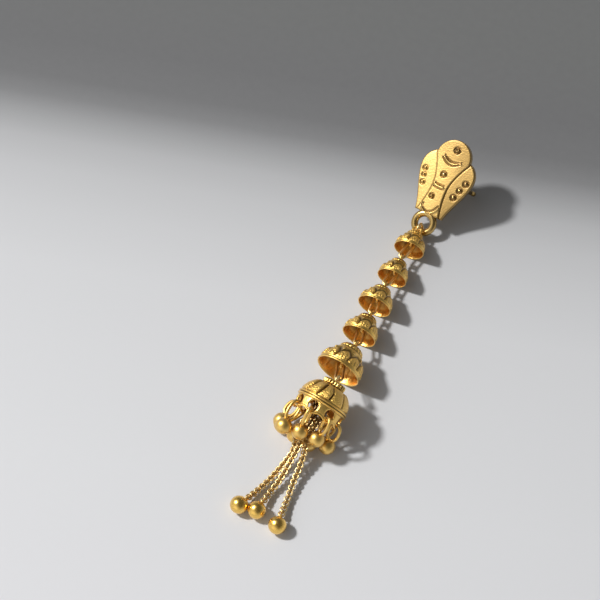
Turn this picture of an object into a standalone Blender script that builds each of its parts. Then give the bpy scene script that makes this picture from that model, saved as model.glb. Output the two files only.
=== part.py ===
"""Gold post-back drop earring, lying on a flat surface.

A three-lobed ear plate with a soldered post and ring carries five small bells on
wire links, then a pierced dome with a fringe of eight balls, and three tail chains
with end balls. The plate points to +Y and the tails to -Y, and the surface is z = 0.
Lengths are in millimetres and angles in degrees until new_object makes metres.
"""

from math import atan2, cos, pi, radians, sin

import bmesh
import bpy
from mathutils import Matrix, Vector
from mathutils.geometry import interpolate_bezier

METRES_PER_MM = 0.001
SHARP_ANGLE = 40.0
# Brings the middle of the whole layout to x = 0 and y = 0
CENTRING = Vector((-0.061, -0.354, 0.0))

# Ear plate, in its own frame: u across, v up from the bottom edge, w out of the flat back
PLATE_BOTTOM_HALF_WIDTH = 2.7
PETAL_HALF_WIDTH = 5.2
PETAL_WIDEST_V = 8.0
PETAL_TOP = (2.95, 11.0)
# Each stretch of an outline is its start, two Bezier handles and its end
PETAL_OUTLINE = (
    (
        (PLATE_BOTTOM_HALF_WIDTH, 0.0),
        (3.3, 3.0),
        (PETAL_HALF_WIDTH, 5.5),
        (PETAL_HALF_WIDTH, PETAL_WIDEST_V),
    ),
    (
        (PETAL_HALF_WIDTH, PETAL_WIDEST_V),
        (PETAL_HALF_WIDTH, 9.4),
        (4.3, 10.65),
        PETAL_TOP,
    ),
)
PETAL_EDGE_THICKNESS = 0.6
PETAL_THICKNESS = 0.85
PETAL_RIDGE_THICKNESS = 1.05
HEAD_CENTRE_V = 10.55
HEAD_RADIUS = 3.25
TONGUE_BOTTOM_HALF_WIDTH = 2.2
TONGUE_WAIST_HALF_WIDTH = 1.42
TONGUE_WAIST = (TONGUE_WAIST_HALF_WIDTH, 5.0)
TONGUE_SHOULDER = (3.248, 10.44)
TONGUE_OUTLINE = (
    ((TONGUE_BOTTOM_HALF_WIDTH, 0.05), (1.75, 1.6), (TONGUE_WAIST_HALF_WIDTH, 3.4), TONGUE_WAIST),
    (TONGUE_WAIST, (TONGUE_WAIST_HALF_WIDTH, 6.9), (2.6, 9.2), TONGUE_SHOULDER),
)
PETAL_CURVE_STEPS = 6
TONGUE_CURVE_STEPS = 5
HEAD_STEPS = 7
TONGUE_BACK = 0.15
TONGUE_EDGE_THICKNESS = 1.2
TONGUE_THICKNESS = 1.4
EDGE_ROUNDING = 0.3
RING_RADIUS = 1.73
RING_WIRE_RADIUS = 0.52
RING_CENTRE = (0.0, -1.7, 0.55)
RING_POINTS = 16
RING_SIDES = 8
PLATE_SLOPE = 33.0
PLATE_ROLL = 9.0
PLATE_HEADING = 6.3
PLATE_ORIGIN = (1.53, 27.27, 2.65)
POST_RADIUS = 0.42
POST_SIDES = 12
POST_ROOT = (1.3, 6.6, 0.4)
POST_TIP = (6.75, 35.73, 0.27)

# Bells, from the plate down. Heading turns the crown from +Y towards +X, rise lifts it.
BELL_FIELDS = ("x", "y", "heading", "rise", "mouth_radius", "height", "inner_loop_length")
BELLS = (
    (1.07, 19.07, -3.0, 0.0, 2.70, 3.90, 1.60),
    (0.56, 12.74, -0.5, -0.5, 2.65, 4.00, 1.60),
    (0.05, 6.25, 1.0, -0.5, 3.00, 4.20, 1.70),
    (-0.04, -0.15, 2.0, 0.0, 3.05, 4.40, 1.80),
    (-0.42, -8.15, 8.0, 1.5, 4.00, 5.40, 2.60),
)
BELL_RELIEF = 0.1
FLOOR_GAP = 0.01
BELL_PETALS = 8
BELL_PETAL_COLUMNS = (0.0, 0.42, 0.86)
BELL_TWIST = 20.0
EYE_RADIUS = 0.72
EYE_STAND = 0.38
LOOP_SUNK = 0.15
FINE_WIRE_RADIUS = 0.22

# Dome. Its frame has its origin at the wire band's centre and z towards the collar.
DOME_CENTRE = (0.01, -15.49, 5.47)
DOME_HEADING = 9.0
DOME_RISE = 16.7
DOME_RELIEF = 0.16
DOME_PETALS = 10
DOME_PETAL_COLUMNS = (0.0, 0.3, 0.6, 0.88)
FIRST_SEAM = -10.0
DOME_TWIST = 8.0
COLLAR_TOP = 4.3
FLUTE_DEPTH = 0.09
SKIRT_DEPTH = 2.7
SCALLOP_DEPTH = 0.4
HOLE_RADIUS = 0.9
HOLE_DEPTH = 1.36
HOLE_SIDES = 10
DRILL_FROM = 2.9
DRILL_TO = 5.2
FIRST_HOLE = -2.0
# The strip of skirt between a hole and the edge below it, which a hoop goes round
STRIP_RADIUS = 3.93
STRIP_FROM_HOLE = 1.12
STRIP_TO_HOOP_END = 0.66
DOME_LOOP_LENGTH = 1.9
DOME_LOOP_CENTRE = 2.75

# Fringe: the balls, clockwise from the hole at the top as seen from the mouth
FRINGE_BALL_RADIUS = 1.38
FRINGE_BALL_GRID = (14, 9)
HOOP_WIRE_RADIUS = 0.29
HOOP_HALF_WIDTH = 0.88
HOOP_SUNK = 0.12
FRINGE_BALLS = (
    (-1.27, -21.58, 5.60),
    (1.55, -21.27, 4.50),
    (3.09, -20.46, 1.62),
    (0.08, -21.12, 1.39),
    (-2.64, -20.54, 1.39),
    (-5.35, -19.64, 1.39),
    (-5.11, -20.36, 4.12),
    (-3.97, -22.00, 6.20),
)

# Links, from the plate's ring down to the dome
LINK_HALF_WIDTH = 0.58
RING_LINK_HALF_WIDTH = 0.86
WIRE_GAP = 0.1

# Tails: the points that each chain passes between its ring and its ball
CHAIN_RADIUS = 0.5
CHAIN_SIDES = 8
CHAIN_STEP = 2.0
END_BALL_RADIUS = 1.5
END_BALL_GRID = (16, 10)
END_EYE_RADIUS = 0.42
END_EYE_WIRE_RADIUS = 0.16
END_EYE_POINTS = 10
END_EYE_SIDES = 5
TAIL_RING_RADIUS = 1.3
TAIL_RING_WIRE_RADIUS = 0.24
TAIL_SPACING = 1.03
TAIL_ROUTES = (
    (
        (-2.12, -20.69, 3.62),
        (-1.78, -22.17, 3.12),
        (-1.59, -23.69, 2.20),
        (-1.95, -25.23, 1.65),
        (-2.61, -27.65, 1.15),
        (-3.37, -29.95, 0.90),
        (-4.21, -32.08, 0.85),
    ),
    (
        (-0.99, -20.64, 3.75),
        (-0.87, -22.05, 3.65),
        (-0.81, -23.39, 3.25),
        (-1.04, -25.27, 2.50),
        (-1.37, -27.64, 1.65),
        (-1.65, -29.61, 1.20),
        (-2.12, -31.30, 0.95),
    ),
    (
        (0.02, -20.34, 3.40),
        (0.09, -21.56, 3.35),
        (0.28, -23.07, 3.00),
        (0.56, -25.46, 1.95),
        (0.56, -27.17, 1.45),
        (0.82, -30.74, 1.00),
        (0.99, -32.58, 0.95),
    ),
)
END_BALLS = ((-5.70, -35.78), (-2.70, -35.47), (1.42, -36.56))

# Finishes: colour, roughness
SATIN_GOLD = ("satin_gold", (0.83, 0.58, 0.22), 0.38)
POLISHED_GOLD = ("polished_gold", (0.86, 0.62, 0.24), 0.22)


def new_material(finish):
    name, colour, roughness = finish
    material = bpy.data.materials.new(name)
    material.use_nodes = True
    shader = material.node_tree.nodes["Principled BSDF"]
    shader.inputs["Base Color"].default_value = (*colour, 1.0)
    shader.inputs["Metallic"].default_value = 1.0
    shader.inputs["Roughness"].default_value = roughness
    return material


def new_object(name, shape, frame, finish=SATIN_GOLD):
    """An object from a bmesh in millimetres, whose own frame is placed in the world."""
    bmesh.ops.recalc_face_normals(shape, faces=shape.faces)
    bmesh.ops.scale(shape, vec=(METRES_PER_MM,) * 3, verts=shape.verts)
    mesh = bpy.data.meshes.new(name)
    shape.to_mesh(mesh)
    shape.free()
    mesh.shade_smooth()
    mesh.set_sharp_from_angle(angle=radians(SHARP_ANGLE))
    mesh.materials.append(new_material(finish))
    placed = bpy.data.objects.new(name, mesh)
    bpy.context.scene.collection.objects.link(placed)
    position = (frame.translation + CENTRING) * METRES_PER_MM
    placed.matrix_world = Matrix.Translation(position) @ frame.to_3x3().to_4x4()
    return placed


def new_tool(name, shape, frame):
    """A guide for a Boolean, which is not a part of the earring."""
    tool = new_object(name, shape, frame)
    tool.hide_render = True
    tool.display_type = "WIRE"
    return tool


def combine(target, tool, operation):
    step = target.modifiers.new(tool.name, "BOOLEAN")
    step.operation = operation
    step.solver = "EXACT"
    step.object = tool


def frame_of(x_axis, y_axis, z_axis, origin):
    frame = Matrix((x_axis, y_axis, z_axis)).transposed().to_4x4()
    frame.translation = origin
    return frame


def lying_frame(origin, heading, rise):
    """The frame of a bell on its side: z to its crown, x up and y to the right of it."""
    turn = radians(heading)
    lift = radians(rise)
    z_axis = Vector((sin(turn) * cos(lift), cos(turn) * cos(lift), sin(lift)))
    y_axis = Vector((cos(turn), -sin(turn), 0.0))
    return frame_of(y_axis.cross(z_axis), y_axis, z_axis, origin)


def plate_frame():
    """u to the right, v up the plate's slope, w out of its front."""
    turn = radians(PLATE_HEADING)
    slope = radians(PLATE_SLOPE)
    roll = radians(PLATE_ROLL)
    v_axis = Vector((sin(turn) * cos(slope), cos(turn) * cos(slope), sin(slope)))
    level = Vector((cos(turn), -sin(turn), 0.0))
    u_axis = level * cos(roll) + level.cross(v_axis) * sin(roll)
    return frame_of(u_axis, v_axis, u_axis.cross(v_axis), Vector(PLATE_ORIGIN))


def bridge_rings(shape, rings, closed=False):
    """Quads between rings of vertices, one after another."""
    pairs = list(zip(rings, rings[1:]))
    if closed:
        pairs.append((rings[-1], rings[0]))
    for first, second in pairs:
        count = len(first)
        for i in range(count):
            j = (i + 1) % count
            shape.faces.new((first[i], first[j], second[j], second[i]))


def add_wire_loop(shape, centre, along, across, half_length, half_width, wire_radius, points=12, sides=6):
    """A closed wire oval with straight sides and round ends; a circle if its halves match.

    The halves are measured to the middle of the wire, at the middle of its flat lengths.
    """
    along = Vector(along).normalized()
    across = (Vector(across) - along * along.dot(Vector(across))).normalized()
    normal = along.cross(across)
    straight = half_length - half_width
    corner_radius = half_width / cos(pi / points)
    rings = []
    for k in range(points):
        angle = 2.0 * pi * (k + 0.5) / points
        outward = along * cos(angle) + across * sin(angle)
        end = straight if cos(angle) > 0.0 else -straight
        middle = Vector(centre) + along * end + outward * corner_radius
        rings.append([
            shape.verts.new(middle + outward * (wire_radius * cos(turn)) + normal * (wire_radius * sin(turn)))
            for turn in (2.0 * pi * i / sides for i in range(sides))
        ])
    bridge_rings(shape, rings, closed=True)


def add_tube(shape, route, radius, sides):
    """A round bar along a route, with flat ends."""
    rings = []
    across = Vector((1.0, 0.0, 0.0))
    for k, point in enumerate(route):
        before = route[max(k - 1, 0)]
        after = route[min(k + 1, len(route) - 1)]
        along = (after - before).normalized()
        across = (across - along * along.dot(across)).normalized()
        other = along.cross(across)
        rings.append([
            shape.verts.new(point + across * (radius * cos(turn)) + other * (radius * sin(turn)))
            for turn in (2.0 * pi * i / sides for i in range(sides))
        ])
    bridge_rings(shape, rings)
    shape.faces.new(rings[0])
    shape.faces.new(rings[-1])


def add_ball(shape, centre, radius, segments, rings):
    bmesh.ops.create_uvsphere(
        shape,
        u_segments=segments,
        v_segments=rings,
        radius=radius,
        matrix=Matrix.Translation(centre),
    )


def turned(rows, place_row):
    """A turned body, from rows that start at its top, go down the outside and up the inside.

    A row starts with its z. place_row gives the angle, the radius and the z of each column.
    """
    shape = bmesh.new()
    rings = []
    for row in rows[1:-1]:
        rings.append([
            shape.verts.new((radius * cos(angle), radius * sin(angle), z))
            for angle, radius, z in place_row(row)
        ])
    bridge_rings(shape, rings)
    for row, ring in ((rows[0], rings[0]), (rows[-1], rings[-1])):
        pole = shape.verts.new((0.0, 0.0, row[0]))
        count = len(ring)
        for i in range(count):
            shape.faces.new((pole, ring[i], ring[(i + 1) % count]))
    return shape


def curve_points(knots, steps):
    """Points along Bezier stretches, each given as its two ends and two handles."""
    points = []
    for start, leaving, arriving, end in knots:
        corners = [Vector((*corner, 0.0)) for corner in (start, leaving, arriving, end)]
        stretch = interpolate_bezier(*corners, steps + 1)
        points.extend((point.x, point.y) for point in stretch[:-1])
    return points


def inset_outline(outline, distance):
    """The outline moved inwards by a distance, point by point."""
    moved = []
    count = len(outline)
    for i, point in enumerate(outline):
        before = Vector(outline[i - 1])
        here = Vector(point)
        after = Vector(outline[(i + 1) % count])
        inward_before = (here - before).orthogonal().normalized()
        inward_after = (after - here).orthogonal().normalized()
        bisector = inward_before + inward_after
        bisector /= max(0.5, bisector.length_squared / 2.0)
        moved.append(tuple(here + bisector * distance))
    return moved


def add_slab(shape, outline, levels):
    """A slab over an outline: each level is an inset and a height above the back."""
    rings = []
    for inset, height in levels:
        rings.append([shape.verts.new((u, v, height)) for u, v in inset_outline(outline, inset)])
    bridge_rings(shape, rings)
    shape.faces.new(rings[0])
    return rings[-1]


def petals_shape():
    """Both petals in one body with a flat back, highest along the middle."""
    right_side = curve_points(PETAL_OUTLINE, PETAL_CURVE_STEPS)
    right_side.append(PETAL_TOP)
    shape = bmesh.new()
    outline = right_side + [(-u, v) for u, v in reversed(right_side)]
    rim = add_slab(
        shape,
        outline,
        ((0.0, 0.0), (0.0, PETAL_EDGE_THICKNESS), (EDGE_ROUNDING, PETAL_THICKNESS)),
    )
    half = len(rim) // 2
    ridge = [
        shape.verts.new((0.0, (rim[i].co.y + rim[-1 - i].co.y) / 2.0, PETAL_RIDGE_THICKNESS))
        for i in range(1, half - 1)
    ]
    for i in range(1, half - 2):
        shape.faces.new((rim[i], rim[i + 1], ridge[i], ridge[i - 1]))
        shape.faces.new((rim[-2 - i], rim[-1 - i], ridge[i - 1], ridge[i]))
    shape.faces.new((rim[0], rim[1], ridge[0]))
    shape.faces.new((rim[-1], rim[0], ridge[0]))
    shape.faces.new((rim[-2], rim[-1], ridge[0]))
    shape.faces.new((rim[half - 2], rim[half - 1], ridge[-1]))
    shape.faces.new((rim[half - 1], rim[half], ridge[-1]))
    shape.faces.new((rim[half], rim[half + 1], ridge[-1]))
    return shape


def tongue_shape():
    """The raised tongue: a round head on a neck that widens to the bottom edge."""
    right_side = curve_points(TONGUE_OUTLINE, TONGUE_CURVE_STEPS)
    start = atan2(TONGUE_SHOULDER[1] - HEAD_CENTRE_V, TONGUE_SHOULDER[0])
    for k in range(HEAD_STEPS):
        angle = start + (pi / 2.0 - start) * k / HEAD_STEPS
        right_side.append((HEAD_RADIUS * cos(angle), HEAD_CENTRE_V + HEAD_RADIUS * sin(angle)))
    outline = right_side + [(0.0, HEAD_CENTRE_V + HEAD_RADIUS)] + [(-u, v) for u, v in reversed(right_side)]
    shape = bmesh.new()
    rim = add_slab(
        shape,
        outline,
        ((0.0, TONGUE_BACK), (0.0, TONGUE_EDGE_THICKNESS), (EDGE_ROUNDING, TONGUE_THICKNESS)),
    )
    shape.faces.new(rim)
    return shape


def make_ear_plate():
    frame = plate_frame()
    plate = new_object("ear_plate", petals_shape(), frame)
    combine(plate, new_tool("tongue_tool", tongue_shape(), frame), "UNION")

    ring = bmesh.new()
    add_wire_loop(
        ring,
        RING_CENTRE,
        (0.0, 1.0, 0.0),
        (1.0, 0.0, 0.0),
        RING_RADIUS,
        RING_RADIUS,
        RING_WIRE_RADIUS,
        RING_POINTS,
        RING_SIDES,
    )
    combine(plate, new_tool("ring_tool", ring, frame), "UNION")

    post = bmesh.new()
    tip = frame.inverted() @ Vector(POST_TIP)
    add_tube(post, [Vector(POST_ROOT), tip], POST_RADIUS, POST_SIDES)
    combine(plate, new_tool("post_tool", post, frame), "UNION")
    ring_normal = frame.to_3x3() @ Vector((0.0, 0.0, 1.0))
    return {
        "centre": frame @ Vector(RING_CENTRE),
        "normal": ring_normal,
        "radius": RING_RADIUS,
        "wire": RING_WIRE_RADIUS,
    }


def end_of_loop(frame, centre, across, radius, wire_radius):
    """Where a round end of wire is in the world: its centre, its plane and its wire."""
    turn = frame.to_3x3()
    normal = turn @ Vector((0.0, 0.0, 1.0)).cross(Vector(across))
    return {"centre": frame @ Vector(centre), "normal": normal, "radius": radius, "wire": wire_radius}


def add_hanging_loops(body, frame, eye_centre, loop_top, loop_length, eye_is_flat=False):
    """The eye on a crown and the oval loop inside it, soldered on; returns both their ends."""
    upright = (1.0, 0.0, 0.0)
    eye_across = (0.0, 1.0, 0.0) if eye_is_flat else upright
    loop_half = loop_length / 2.0
    wires = bmesh.new()
    add_wire_loop(wires, eye_centre, (0, 0, 1), eye_across, EYE_RADIUS, EYE_RADIUS, FINE_WIRE_RADIUS)
    loop_centre = Vector((0.0, 0.0, loop_top - loop_half))
    add_wire_loop(wires, loop_centre, (0, 0, 1), upright, loop_half, EYE_RADIUS, FINE_WIRE_RADIUS)
    combine(body, new_tool(body.name + "_wires", wires, frame), "UNION")
    lower_arc = (0.0, 0.0, loop_top - loop_length + EYE_RADIUS)
    return (
        end_of_loop(frame, eye_centre, eye_across, EYE_RADIUS, FINE_WIRE_RADIUS),
        end_of_loop(frame, lower_arc, upright, EYE_RADIUS, FINE_WIRE_RADIUS),
    )


def bell_rows(radius, height):
    """Height, radius, relief share and twist share of each row, from the cap round to the inside."""
    outside = (
        # height share, radius share, relief share
        (1.00, 0.00, 0.0),
        (0.97, 0.27, 0.0),
        (0.89, 0.46, 0.0),
        (0.79, 0.52, 0.0),
        (0.75, 0.47, 0.0),
        (0.69, 0.62, 0.7),
        (0.52, 0.80, 1.0),
        (0.31, 0.925, 1.0),
        (0.12, 0.97, 0.4),
        (0.08, 1.00, 0.0),
        (0.00, 1.00, 0.0),
    )
    rows = [(height * z, radius * r, relief, z) for z, r, relief in outside]
    inside = ((0.00, 0.93), (0.30, 0.83), (0.50, 0.66), (0.62, 0.38), (0.65, 0.0))
    rows.extend((height * z, radius * r, 0.0, 0.0) for z, r in inside)
    return rows


def petal_columns(petals, fractions):
    """Each column's place round the body, in petals, and its height on its petal, -1 to 1."""
    columns = []
    for petal in range(petals):
        for fraction in fractions:
            columns.append((petal + fraction, 2.0 * fraction / fractions[-1] - 1.0))
    return columns


def place_bell_row(row):
    z, radius, relief, twist_share = row
    return [
        (
            2.0 * pi * around / BELL_PETALS + radians(BELL_TWIST) * twist_share,
            radius + BELL_RELIEF * relief * rise,
            z,
        )
        for around, rise in petal_columns(BELL_PETALS, BELL_PETAL_COLUMNS)
    ]


def make_bell(number, bell):
    rows = bell_rows(bell["mouth_radius"], bell["height"])
    origin = Vector((bell["x"], bell["y"], bell["mouth_radius"] * cos(radians(bell["rise"])) + FLOOR_GAP))
    frame = lying_frame(origin, bell["heading"], bell["rise"])
    body = new_object(f"bell_{number}", turned(rows, place_bell_row), frame)

    # The first bell's eye lies flat, because its link stands up through the plate's ring
    eye_centre = Vector((0.0, 0.0, bell["height"] + EYE_STAND))
    return add_hanging_loops(
        body, frame, eye_centre, rows[-1][0] + LOOP_SUNK, bell["inner_loop_length"], eye_is_flat=number == 1
    )


def dome_rows():
    """Height above the band, radius, share of relief, kind of each row of the dome."""
    return (
        (COLLAR_TOP, 0.0, 0.0, "plain"),
        (COLLAR_TOP, 1.60, 0.0, "plain"),
        (4.17, 1.93, 1.0, "flutes"),
        (3.40, 1.93, 1.0, "flutes"),
        (3.30, 1.68, 0.0, "plain"),
        (3.28, 2.16, 0.6, "petals"),
        (2.90, 2.95, 1.0, "petals"),
        (2.10, 3.70, 1.0, "petals"),
        (1.15, 4.15, 1.0, "petals"),
        (0.45, 4.28, 0.5, "petals"),
        (0.34, 4.45, 0.0, "plain"),
        (0.10, 4.45, 0.0, "plain"),
        (0.00, 4.32, 0.0, "plain"),
        (-0.10, 4.45, 0.0, "plain"),
        (-0.34, 4.45, 0.0, "plain"),
        (-0.42, 4.28, 0.0, "plain"),
        (-1.35, 4.22, 0.0, "plain"),
        (-SKIRT_DEPTH, 4.12, 0.0, "edge"),
        (-SKIRT_DEPTH, 3.68, 0.0, "edge"),
        (-1.35, 3.74, 0.0, "plain"),
        (0.00, 3.85, 0.0, "plain"),
        (1.30, 3.60, 0.0, "plain"),
        (2.30, 2.85, 0.0, "plain"),
        (2.95, 1.60, 0.0, "plain"),
        (3.10, 0.0, 0.0, "plain"),
    )


def place_dome_row(row):
    z, radius, relief, kind = row
    columns = petal_columns(DOME_PETALS, DOME_PETAL_COLUMNS)
    share = min(max(z / COLLAR_TOP, 0.0), 1.0)
    placed = []
    for k, (around, rise) in enumerate(columns):
        turns = around / DOME_PETALS if kind == "petals" else k / len(columns)
        angle = radians(FIRST_SEAM + DOME_TWIST * share) + 2.0 * pi * turns
        here = radius
        level = z
        if kind == "petals":
            here += DOME_RELIEF * relief * rise
        if kind == "flutes":
            here += FLUTE_DEPTH * relief * (1.0 if k % 2 else -1.0)
        if kind == "edge":
            level += SCALLOP_DEPTH * (1.0 - cos(len(FRINGE_BALLS) * (angle - radians(FIRST_HOLE)))) / 2.0
        placed.append((angle, here, level))
    return placed


def dome_frame():
    return lying_frame(Vector(DOME_CENTRE), DOME_HEADING, DOME_RISE)


def hole_direction(number):
    """Which way hole number 0 to 7 looks, in the dome's frame."""
    angle = radians(FIRST_HOLE + 360.0 * number / len(FRINGE_BALLS))
    return Vector((cos(angle), sin(angle), 0.0))


def make_dome():
    frame = dome_frame()
    dome = new_object("dome", turned(dome_rows(), place_dome_row), frame)

    drills = bmesh.new()
    for number in range(len(FRINGE_BALLS)):
        outward = hole_direction(number)
        level = Vector((0.0, 0.0, -HOLE_DEPTH))
        add_tube(drills, [outward * DRILL_FROM + level, outward * DRILL_TO + level], HOLE_RADIUS, HOLE_SIDES)
    combine(dome, new_tool("dome_drills", drills, frame), "DIFFERENCE")

    loop_top = DOME_LOOP_CENTRE + DOME_LOOP_LENGTH / 2.0
    eye, _ = add_hanging_loops(
        dome, frame, Vector((0.0, 0.0, COLLAR_TOP + EYE_STAND)), loop_top, DOME_LOOP_LENGTH
    )
    return eye


def make_link(number, upper, lower, half_width):
    """A wire oval through the round ends of two loops."""
    ends = []
    wire_run = Vector()
    for loop, other in ((upper, lower), (lower, upper)):
        towards = other["centre"] - loop["centre"]
        towards -= loop["normal"] * towards.dot(loop["normal"])
        towards.normalize()
        ends.append(loop["centre"] + towards * loop["radius"])
        run = loop["normal"].cross(towards)
        wire_run += run if run.dot(wire_run) >= 0.0 else -run
    along = (ends[1] - ends[0]).normalized()
    first = ends[0] - along * (upper["wire"] + WIRE_GAP + FINE_WIRE_RADIUS)
    last = ends[1] + along * (lower["wire"] + WIRE_GAP + FINE_WIRE_RADIUS)
    shape = bmesh.new()
    across = along.cross(wire_run)
    half_length = (last - first).length / 2.0
    add_wire_loop(shape, (first + last) / 2.0, along, across, half_length, half_width, FINE_WIRE_RADIUS)
    new_object(f"link_{number}", shape, Matrix.Identity(4))


def make_fringe():
    frame = dome_frame()
    for number, ball in enumerate(FRINGE_BALLS):
        outward = (frame.to_3x3() @ hole_direction(number)).normalized()
        centre = Vector(ball)
        hole = frame @ (hole_direction(number) * STRIP_RADIUS - Vector((0.0, 0.0, HOLE_DEPTH)))
        over_wall = centre - hole
        over_wall -= outward * over_wall.dot(outward)
        strip = hole + over_wall.normalized() * STRIP_FROM_HOLE
        towards = (centre - strip).normalized()
        anchor = strip - towards * STRIP_TO_HOOP_END
        sunk_end = centre - towards * (FRINGE_BALL_RADIUS - HOOP_SUNK)
        # The lowest hoop is narrower, to stay above the surface
        half_width = HOOP_HALF_WIDTH
        if outward.z < 0.0:
            half_width = min(half_width, (strip.z - HOOP_WIRE_RADIUS - WIRE_GAP) / -outward.z)
        shape = bmesh.new()
        add_wire_loop(
            shape,
            (anchor + sunk_end) / 2.0,
            towards,
            outward,
            (sunk_end - anchor).length / 2.0,
            half_width,
            HOOP_WIRE_RADIUS,
        )
        hoop = new_tool(f"hoop_{number + 1}", shape, Matrix.Identity(4))
        shape = bmesh.new()
        add_ball(shape, centre, FRINGE_BALL_RADIUS, *FRINGE_BALL_GRID)
        drop = new_object(f"bead_drop_{number + 1}", shape, Matrix.Identity(4), POLISHED_GOLD)
        combine(drop, hoop, "UNION")


def smooth_route(points, spacing):
    """Points along a smooth curve through the given ones."""
    ends = [points[0] * 2.0 - points[1]] + points + [points[-1] * 2.0 - points[-2]]
    route = []
    for before, here, there, after in zip(ends, ends[1:], ends[2:], ends[3:]):
        steps = max(1, round((there - here).length / spacing))
        for k in range(steps):
            t = k / steps
            route.append(
                (here * 2.0 + (there - before) * t
                 + (before * 2.0 - here * 5.0 + there * 4.0 - after) * t ** 2
                 + (here * 3.0 - before - there * 3.0 + after) * t ** 3) * 0.5
            )
    route.append(points[-1])
    return route


def make_tails():
    frame = dome_frame()
    ring_centre = DOME_LOOP_CENTRE - DOME_LOOP_LENGTH / 2.0 + FINE_WIRE_RADIUS + WIRE_GAP
    ring_centre += TAIL_RING_WIRE_RADIUS - TAIL_RING_RADIUS
    shape = bmesh.new()
    add_wire_loop(
        shape,
        (0.0, 0.0, ring_centre),
        (0, 0, 1),
        (0, 1, 0),
        TAIL_RING_RADIUS,
        TAIL_RING_RADIUS,
        TAIL_RING_WIRE_RADIUS,
    )
    new_object("tail_ring", shape, frame)
    below_ring = ring_centre - TAIL_RING_RADIUS - TAIL_RING_WIRE_RADIUS - WIRE_GAP

    for number, (route, ball) in enumerate(zip(TAIL_ROUTES, END_BALLS)):
        sideways = (number - 1) * TAIL_SPACING
        points = [frame @ Vector((0.0, sideways, below_ring))] + [Vector(point) for point in route]
        centre = Vector((ball[0], ball[1], END_BALL_RADIUS))
        back = (points[-1] - centre).normalized()
        eye_centre = centre + back * (END_BALL_RADIUS + 0.5 * END_EYE_RADIUS)
        chain_end = eye_centre + back * (END_EYE_RADIUS + END_EYE_WIRE_RADIUS + WIRE_GAP)

        shape = bmesh.new()
        add_tube(shape, smooth_route(points + [chain_end], CHAIN_STEP), CHAIN_RADIUS, CHAIN_SIDES)
        new_object(f"tail_chain_{number + 1}", shape, Matrix.Identity(4))

        shape = bmesh.new()
        add_ball(shape, centre, END_BALL_RADIUS, *END_BALL_GRID)
        end_ball = new_object(f"tail_ball_{number + 1}", shape, Matrix.Identity(4), POLISHED_GOLD)
        shape = bmesh.new()
        add_wire_loop(
            shape,
            eye_centre,
            back,
            (0, 0, 1),
            END_EYE_RADIUS,
            END_EYE_RADIUS,
            END_EYE_WIRE_RADIUS,
            END_EYE_POINTS,
            END_EYE_SIDES,
        )
        combine(end_ball, new_tool(f"end_eye_{number + 1}", shape, Matrix.Identity(4)), "UNION")


def main():
    for old in list(bpy.data.objects):
        bpy.data.objects.remove(old)

    upper = make_ear_plate()
    half_width = RING_LINK_HALF_WIDTH
    for number, values in enumerate(BELLS, start=1):
        eye, loop = make_bell(number, dict(zip(BELL_FIELDS, values)))
        make_link(number, upper, eye, half_width)
        upper = loop
        half_width = LINK_HALF_WIDTH
    make_link(len(BELLS) + 1, upper, make_dome(), half_width)
    make_fringe()
    make_tails()


main()
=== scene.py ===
"""Looks of the lying gold bell drop earring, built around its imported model.

The tables give lengths in millimetres and angles in degrees, unless they say otherwise.
"""

from math import atan, atan2, cos, pi, radians, sin

import bpy
import numpy as np
from mathutils import Matrix, Vector
from mathutils.geometry import interpolate_bezier


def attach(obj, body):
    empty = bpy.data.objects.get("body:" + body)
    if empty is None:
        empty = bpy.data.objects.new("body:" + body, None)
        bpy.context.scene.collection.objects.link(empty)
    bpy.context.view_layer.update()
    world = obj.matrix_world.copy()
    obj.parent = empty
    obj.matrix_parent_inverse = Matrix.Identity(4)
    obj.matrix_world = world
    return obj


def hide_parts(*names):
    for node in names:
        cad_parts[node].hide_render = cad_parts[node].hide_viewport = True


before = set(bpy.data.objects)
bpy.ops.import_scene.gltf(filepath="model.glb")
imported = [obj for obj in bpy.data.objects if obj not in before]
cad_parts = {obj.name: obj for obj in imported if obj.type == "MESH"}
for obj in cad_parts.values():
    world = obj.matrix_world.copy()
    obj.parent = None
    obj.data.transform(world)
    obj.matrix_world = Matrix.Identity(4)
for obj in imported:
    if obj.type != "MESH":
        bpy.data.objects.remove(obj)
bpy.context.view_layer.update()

METRES_PER_MM = 0.001
X_AXIS = Vector((1.0, 0.0, 0.0))
Y_AXIS = Vector((0.0, 1.0, 0.0))
Z_AXIS = Vector((0.0, 0.0, 1.0))
CENTRING = Vector((-0.061, -0.354, 0.0))

# Ear plate, in its own frame: u across, v up from the bottom edge, w out of the flat back
PETAL_OUTLINE = (
    # each stretch: start, two handles and end; 0.01 inside the CAD part's widest point
    ((2.7, 0.0), (3.3, 3.0), (5.19, 5.5), (5.19, 8.0)),
    ((5.19, 8.0), (5.19, 9.4), (4.3, 10.65), (2.95, 11.0)),
)
PETAL_EDGE_THICKNESS = 0.6
PETAL_THICKNESS = 0.85
PETAL_RIDGE_THICKNESS = 1.05
HEAD_CENTRE_V = 10.55
HEAD_RADIUS = 3.25
TONGUE_OUTLINE = (
    ((2.2, 0.05), (1.75, 1.6), (1.42, 3.4), (1.42, 5.0)),
    ((1.42, 5.0), (1.42, 6.9), (2.6, 9.2), (3.248, 10.44)),
)
TONGUE_CURVE_STEPS = 24
TONGUE_BACK = 0.15
TONGUE_EDGE_THICKNESS = 1.08
TONGUE_THICKNESS = 1.3
EDGE_ROUNDING = 0.26
RING_RADIUS = 1.72
RING_WIRE_RADIUS = 0.62
RING_CENTRE = (0.0, -1.7, 0.55)
PLATE_SLOPE = 33.0
PLATE_ROLL = 9.0
PLATE_HEADING = 6.3
PLATE_ORIGIN = (1.53, 27.27, 2.65)
POST_RADIUS = 0.42
POST_ROOT = (1.3, 6.6, 0.4)
POST_TIP = (6.75, 35.73, 0.27)

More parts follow.
